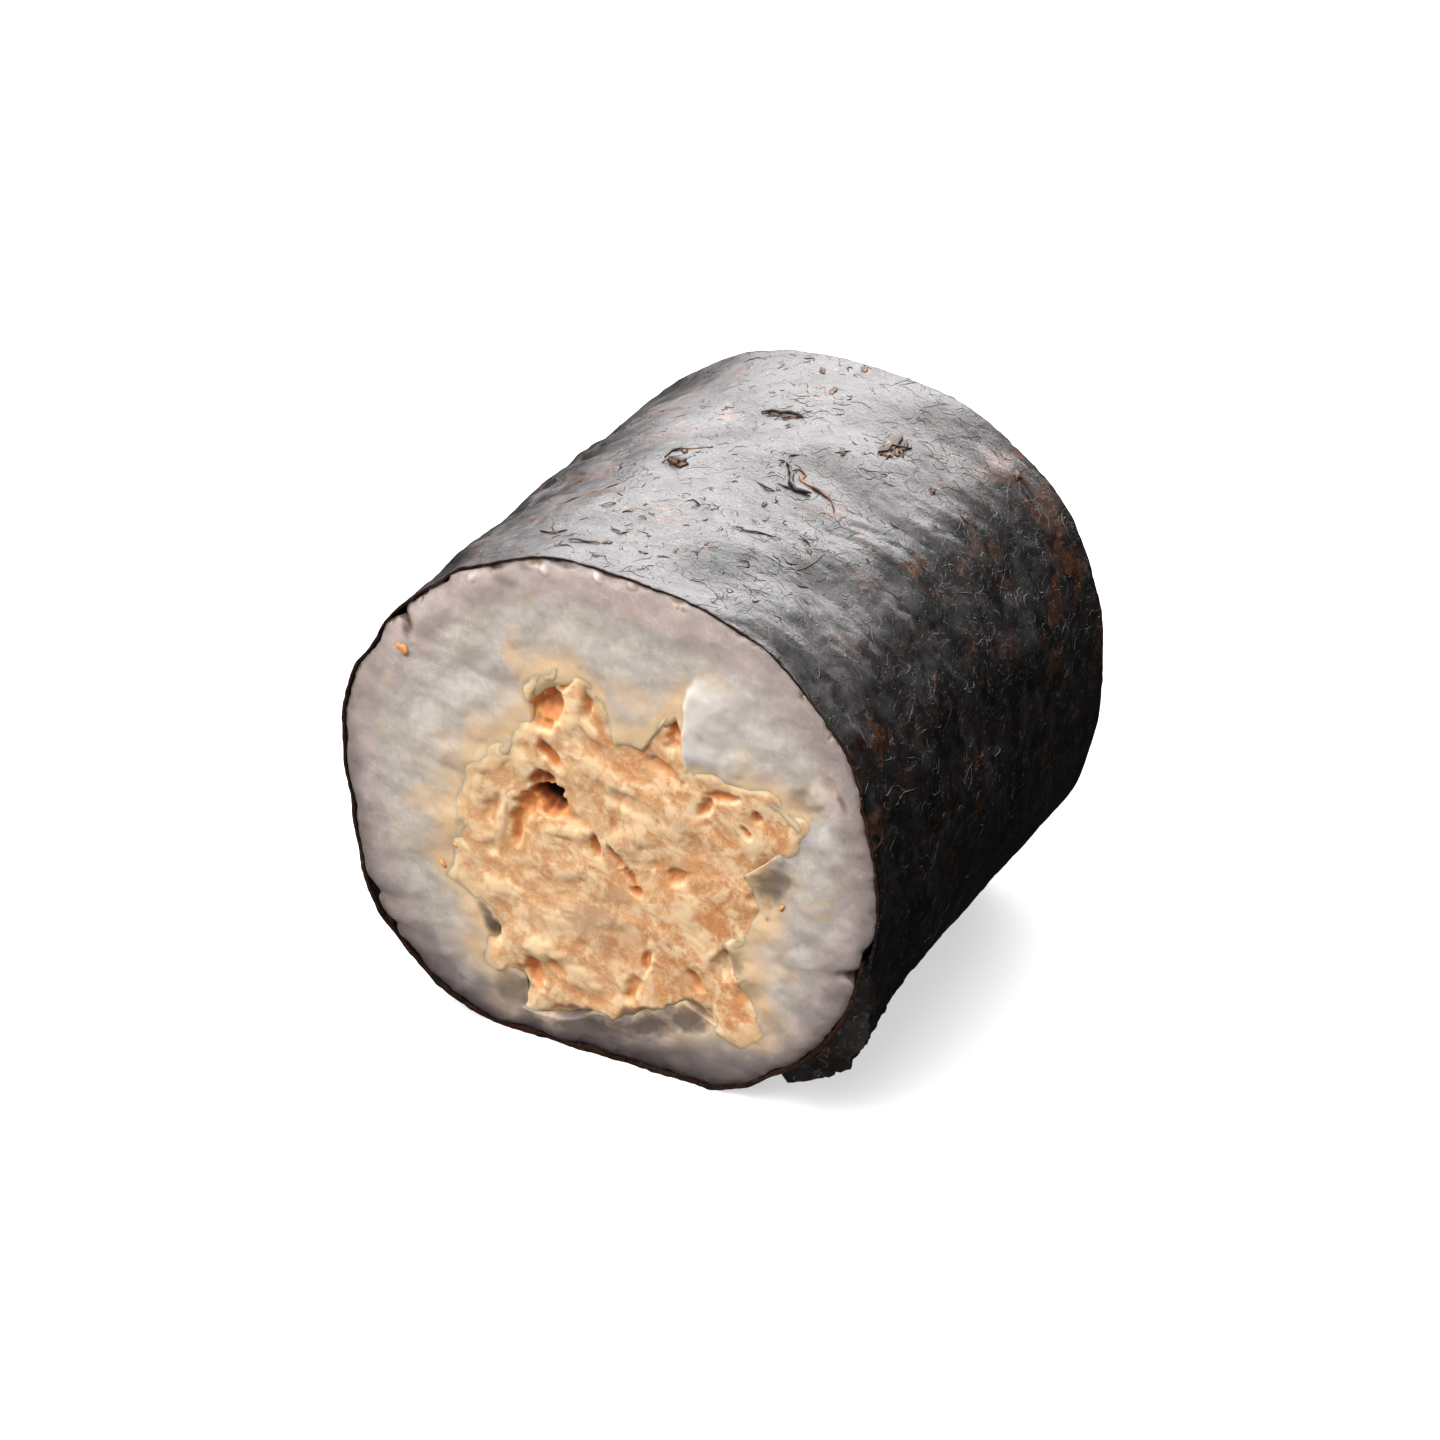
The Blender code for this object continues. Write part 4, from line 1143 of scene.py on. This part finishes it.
TUNA_RIDGES = both_cuts([
    (-4.4, 19.6, 1.8, 0.4, 88, 0.8), (-0.8, 19, 1, 0.3, -40, 0.8), (-1.4, 20.2, 1, 0.3, 78, 0.8),
    (-4.6, 16, 1.3, 0.6, 120, 0.9), (-6, 12.6, 1.4, 0.3, 85, 0.8), (-2.2, 12.8, 1.4, 0.4, 10, 0.7),
    (1.2, 13.3, 2.2, 0.7, 30, 0.9), (2.4, 6.8, 1.3, 0.3, 80, 0.7), (-6, 8.3, 1, 0.7, -30, 0.9),
    (-3.6, 5.5, 1.2, 0.7, -10, 0.9), (-1.5, 4.3, 1.2, 0.7, -15, 0.8), (-0.5, 17, 1.8, 0.6, -30, 0.7),
    (5, 15, 2, 0.6, -25, 0.5), (-2.5, 10.5, 1.6, 0.6, 20, 0.5),
], [
    (4.2, 12.5, 1.4, 0.5, 100, 0.8), (-2, 10, 1.3, 0.5, 20, 0.8), (-1, 17, 1.4, 0.5, 60, 0.8),
    (2.5, 8, 1.4, 0.6, -20, 0.8),
])
GREY_PATCHES = both_cuts([
    (-1.8, 7.8, 2.6, 1, 12, 0.8), (0.4, 9.8, 1.4, 0.6, 0, 0.5),
], [
    (2, 10, 1.8, 0.9, 30, 0.6),
])


def tuna_texture(place):
    """Height of the torn surface at a place, and how far up it lies among its lumps, from about -1 to 1."""
    here = place + noise.noise_vector(place / 0.0026) * 0.0009 + noise.noise_vector(place / 0.0009) * 0.00025
    height = 0
    up = 0
    for size, tall in TUNA_LUMPS:
        level = noise.noise(here / size)
        height += tall * level
        up += 0.35 * level
    for size, tall in TUNA_CRUMBS:
        level = 2.2 * abs(noise.noise(here / size + Vector((5, 0, 0)))) - 0.5
        height += tall * level
        up += 0.35 * level
    turned = smooth_step(0.5 + 2 * noise.noise(place / 0.0052))
    for direction, weight in zip(FIBRE_DIRECTIONS, (1 - turned, turned)):
        turn = math.radians(direction)
        along = (here.x * math.cos(turn) + here.z * math.sin(turn)) / TUNA_FIBRE_LONG
        across = (here.z * math.cos(turn) - here.x * math.sin(turn)) / TUNA_FIBRE_SHORT
        fibre = wave(along, across, direction)
        height += TUNA_FIBRE_HEIGHT * fibre * weight
        up += 0.5 * fibre * weight
    return height, up


def tuna_surface(flat, from_edge, side):
    """A point of a torn face at a distance from its ragged edge, and the masks that colour it there."""
    height, up = tuna_texture(flat)
    ridge = spots_share(flat, TUNA_RIDGES[side], 0.3 * noise.noise(flat / 0.0007))
    chunk = spots_share(flat, TUNA_CHUNKS[side], 0.35 * noise.noise(flat / 0.0009))
    pit = spots_share(flat, TUNA_PITS[side], layered(flat, PIT_TORN), 0.25)
    calm = 1 - 0.85 * min(1, chunk * 1.2)
    worn = 0.0007 * noise.noise(flat / 0.0014 + Vector((0, 0, 2))) + 0.0004 * noise.noise(flat / 0.0005)
    near_edge = 1 - smooth_step((from_edge + worn - TUNA_OVERLAP * 0.6) / 0.0012)
    settled = 1 - smooth_step((from_edge + 0.5 * worn - 0.0001) / 0.0010)
    height *= calm * (1 - 0.6 * near_edge)
    height += (TUNA_DOME + TUNA_RIDGE_RISE * ridge) * (1 - near_edge) - TUNA_CHUNK_DEPTH * chunk
    if near_edge > 0:
        hollow, swell, _ = rice_spots(flat, side)
        under = rice_lumps(flat, side, hollow if side > 0 else 0, swell, 0) * near_edge
        height = under + (height + TUNA_EDGE_RISE * near_edge) * (1 - settled) - TUNA_DIP * settled
    height -= pit * MM
    if side < 0:
        height -= TUNA_DRAWN_IN * spots_share(flat, RICE_HOLLOWS[side], 0.3 * noise.noise(flat / 0.0006))
    pink = 0.7 * noise.noise(flat / 0.0014 + Vector((0, 0, 4))) + 0.3 * noise.noise(flat / 0.0005)
    pink += 0.6 * noise.noise(flat / 0.0030 + Vector((0, 0, 6))) + flat.x / 0.020
    masks = {
        "up": up * calm + 0.8 * ridge,
        "pit": pit,
        "pink": pink,
        "chunk": chunk,
        "grey": spots_share(flat, GREY_PATCHES[side]),
        "rim": near_edge,
    }
    return flat + Vector((0, side * height, 0)), masks


def tuna_point(across, ring):
    """Where a corner of the grid lies: its rings run out over the front, along the column and in again."""
    turn = across * 180
    on_front = ring <= TUNA_FRONT_RINGS
    if not on_front and ring < TUNA_FRONT_RINGS + TUNA_WALL_RINGS:
        share = (ring - TUNA_FRONT_RINGS) / TUNA_WALL_RINGS
        y = -CUT_Y + TUNA_WALL_INSET + (ROLL_LENGTH - 2 * TUNA_WALL_INSET) * share
        return filling_place(turn, y, 0.0), {}
    side = -1 if on_front else 1
    share = ring / TUNA_FRONT_RINGS if on_front else (TUNA_RINGS - ring) / TUNA_BACK_RINGS
    key = (side, round(turn, 4) % 360)
    middle = Vector((FILLING_CENTRE_X, side * CUT_Y, FILLING_CENTRE_HEIGHT))
    if key not in edges:
        edge = filling_place(turn, side * CUT_Y, TUNA_OVERLAP)
        ragged = TUNA_EDGE_RAGGED * noise.noise(edge / 0.0016)
        edges[key] = edge + (edge - middle).normalized() * ragged
    flat = middle.lerp(edges[key], share**0.75)
    return tuna_surface(flat, (edges[key] - flat).length, side)


edges = {}
tuna = wrapped("tuna_flaked", TUNA_STEPS_ROUND, TUNA_RINGS, tuna_point, 180)

TUNA_CREAM_AND_HIGHLIGHT = (0.85, 0.63, 0.39)
TUNA_BEIGE = (0.70, 0.40, 0.20)
TUNA_PINK = (0.63, 0.31, 0.135)
TUNA_ORANGE_AND_SHADE = (0.68, 0.27, 0.08)
TUNA_RED_AND_PIT_SHADE = (0.36, 0.11, 0.035)
TUNA_HOLE_SHADE = (0.016, 0.005, 0.002)
TUNA_BROWN = (0.58, 0.28, 0.14)
TUNA_GREY = (0.60, 0.42, 0.27)
TUNA_YELLOW = (0.82, 0.575, 0.34)
flesh = Finish("cooked_tuna", TUNA_BEIGE, Roughness=0.62, Specular_IOR_Level=0.35, Subsurface_Weight=1.0)
flesh.shader.inputs["Subsurface Scale"].default_value = 0.0006
flesh.shader.inputs["Subsurface Radius"].default_value = (1.0, 0.65, 0.42)
grit = flesh.plus(flesh.speckle(0.0004, 5.0, 0.6), -0.5)
patches = flesh.ramp(flesh.speckle(0.0013, 6.0, 0.66, 0.4), 0.34, 0.66, -0.5, 0.5)
up = flesh.plus(flesh.plus(flesh.times(flesh.painted("up"), 0.75), patches), flesh.times(grit, 0.7))
pit = flesh.plus(flesh.painted("pit"), flesh.times(grit, 0.3))
flesh.coat(TUNA_PINK, flesh.ramp(flesh.plus(flesh.painted("pink"), grit), -0.25, 0.60))
# Partly painted light: cream is laid on the lumps' tops as a painted highlight, and orange in the low places
# and the gaps between flakes as painted shade
flesh.coat(TUNA_CREAM_AND_HIGHLIGHT, flesh.ramp(up, -0.35, 0.60, 0.0, 0.95))
flesh.coat(TUNA_ORANGE_AND_SHADE, flesh.ramp(up, -1.0, -0.3, 0.45, 0.0))
gaps = flesh.hair_lines(0.00060, 0.035, 0.50)
flesh.coat(TUNA_ORANGE_AND_SHADE, flesh.times(gaps, flesh.ramp(up, -0.5, 0.5, 0.6, 0.1)))
threads = flesh.most(flesh.hair_lines(0.00085, 0.045, 0.42), flesh.hair_lines(0.00042, 0.055, 0.45))
flesh.coat(TUNA_CREAM_AND_HIGHLIGHT, flesh.times(threads, 0.40))
broken = flesh.ramp(up, -0.6, 0.8, 1.0, 0.2)
flesh.coat(TUNA_GREY, flesh.times(flesh.painted("grey"), broken))
flesh.coat(TUNA_YELLOW, flesh.times(flesh.painted("rim"), flesh.ramp(up, -0.6, 0.6, 0.95, 0.55)))
flesh.coat(TUNA_BROWN, flesh.times(flesh.painted("chunk"), broken))
# Painted shade in the pits, darker with depth and black in the deep hole
flesh.coat(TUNA_ORANGE_AND_SHADE, flesh.ramp(pit, 0.06, 0.38, 0.0, 0.9))
flesh.coat(TUNA_RED_AND_PIT_SHADE, flesh.ramp(pit, 0.55, 1.0))
flesh.coat(TUNA_HOLE_SHADE, flesh.ramp(pit, 1.1, 1.6))
flesh.roughen(flesh.speckle(0.00022, 5.0, 0.6), 0.35, 0.00005)
flesh.put_on(tuna)
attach(tuna, "root")
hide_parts("tuna_filling")


# A few crumbs of tuna that the knife carried on to the rice, where they stick by their own moisture. Each
# is across, height, half length and half width in millimetres, and its direction in degrees.
CRUMB_PLACES = both_cuts([
    (-11.4, 20.8, 0.4, 0.24, -50), (-9.5, 8.8, 0.26, 0.12, -50), (-8.7, 10.1, 0.18, 0.14, 0),
    (9.8, 12, 0.2, 0.12, 70),
], [
    (9.8, 16.5, 0.34, 0.22, 20), (-8.5, 19, 0.28, 0.18, 80),
])
CRUMB_RISE = 0.00012
CRUMB_ROUGH = (0.5, 1.5)


def add_crumb(side, x, height, long, wide, direction):
    """A crumb that lies on the cut face."""
    _, under, _, _ = rice.closest_point_on_mesh(Vector((x, side * (CUT_Y + 0.001), height)))

    def lay(aside, above, rise):
        return Vector((x + aside, under.y + side * rise, height + above))

    return add_scrap(long, wide, CRUMB_RISE, direction, CRUMB_ROUGH, (x * 1000, side, 0), lay)


crumbs = joined("tuna_crumbs", [add_crumb(side, *crumb) for side in (-1, 1) for crumb in CRUMB_PLACES[side]])
finish_scraps(crumbs, "tuna_crumb", (0.80, 0.38, 0.12), (0.62, 0.25, 0.07), 0.0004)
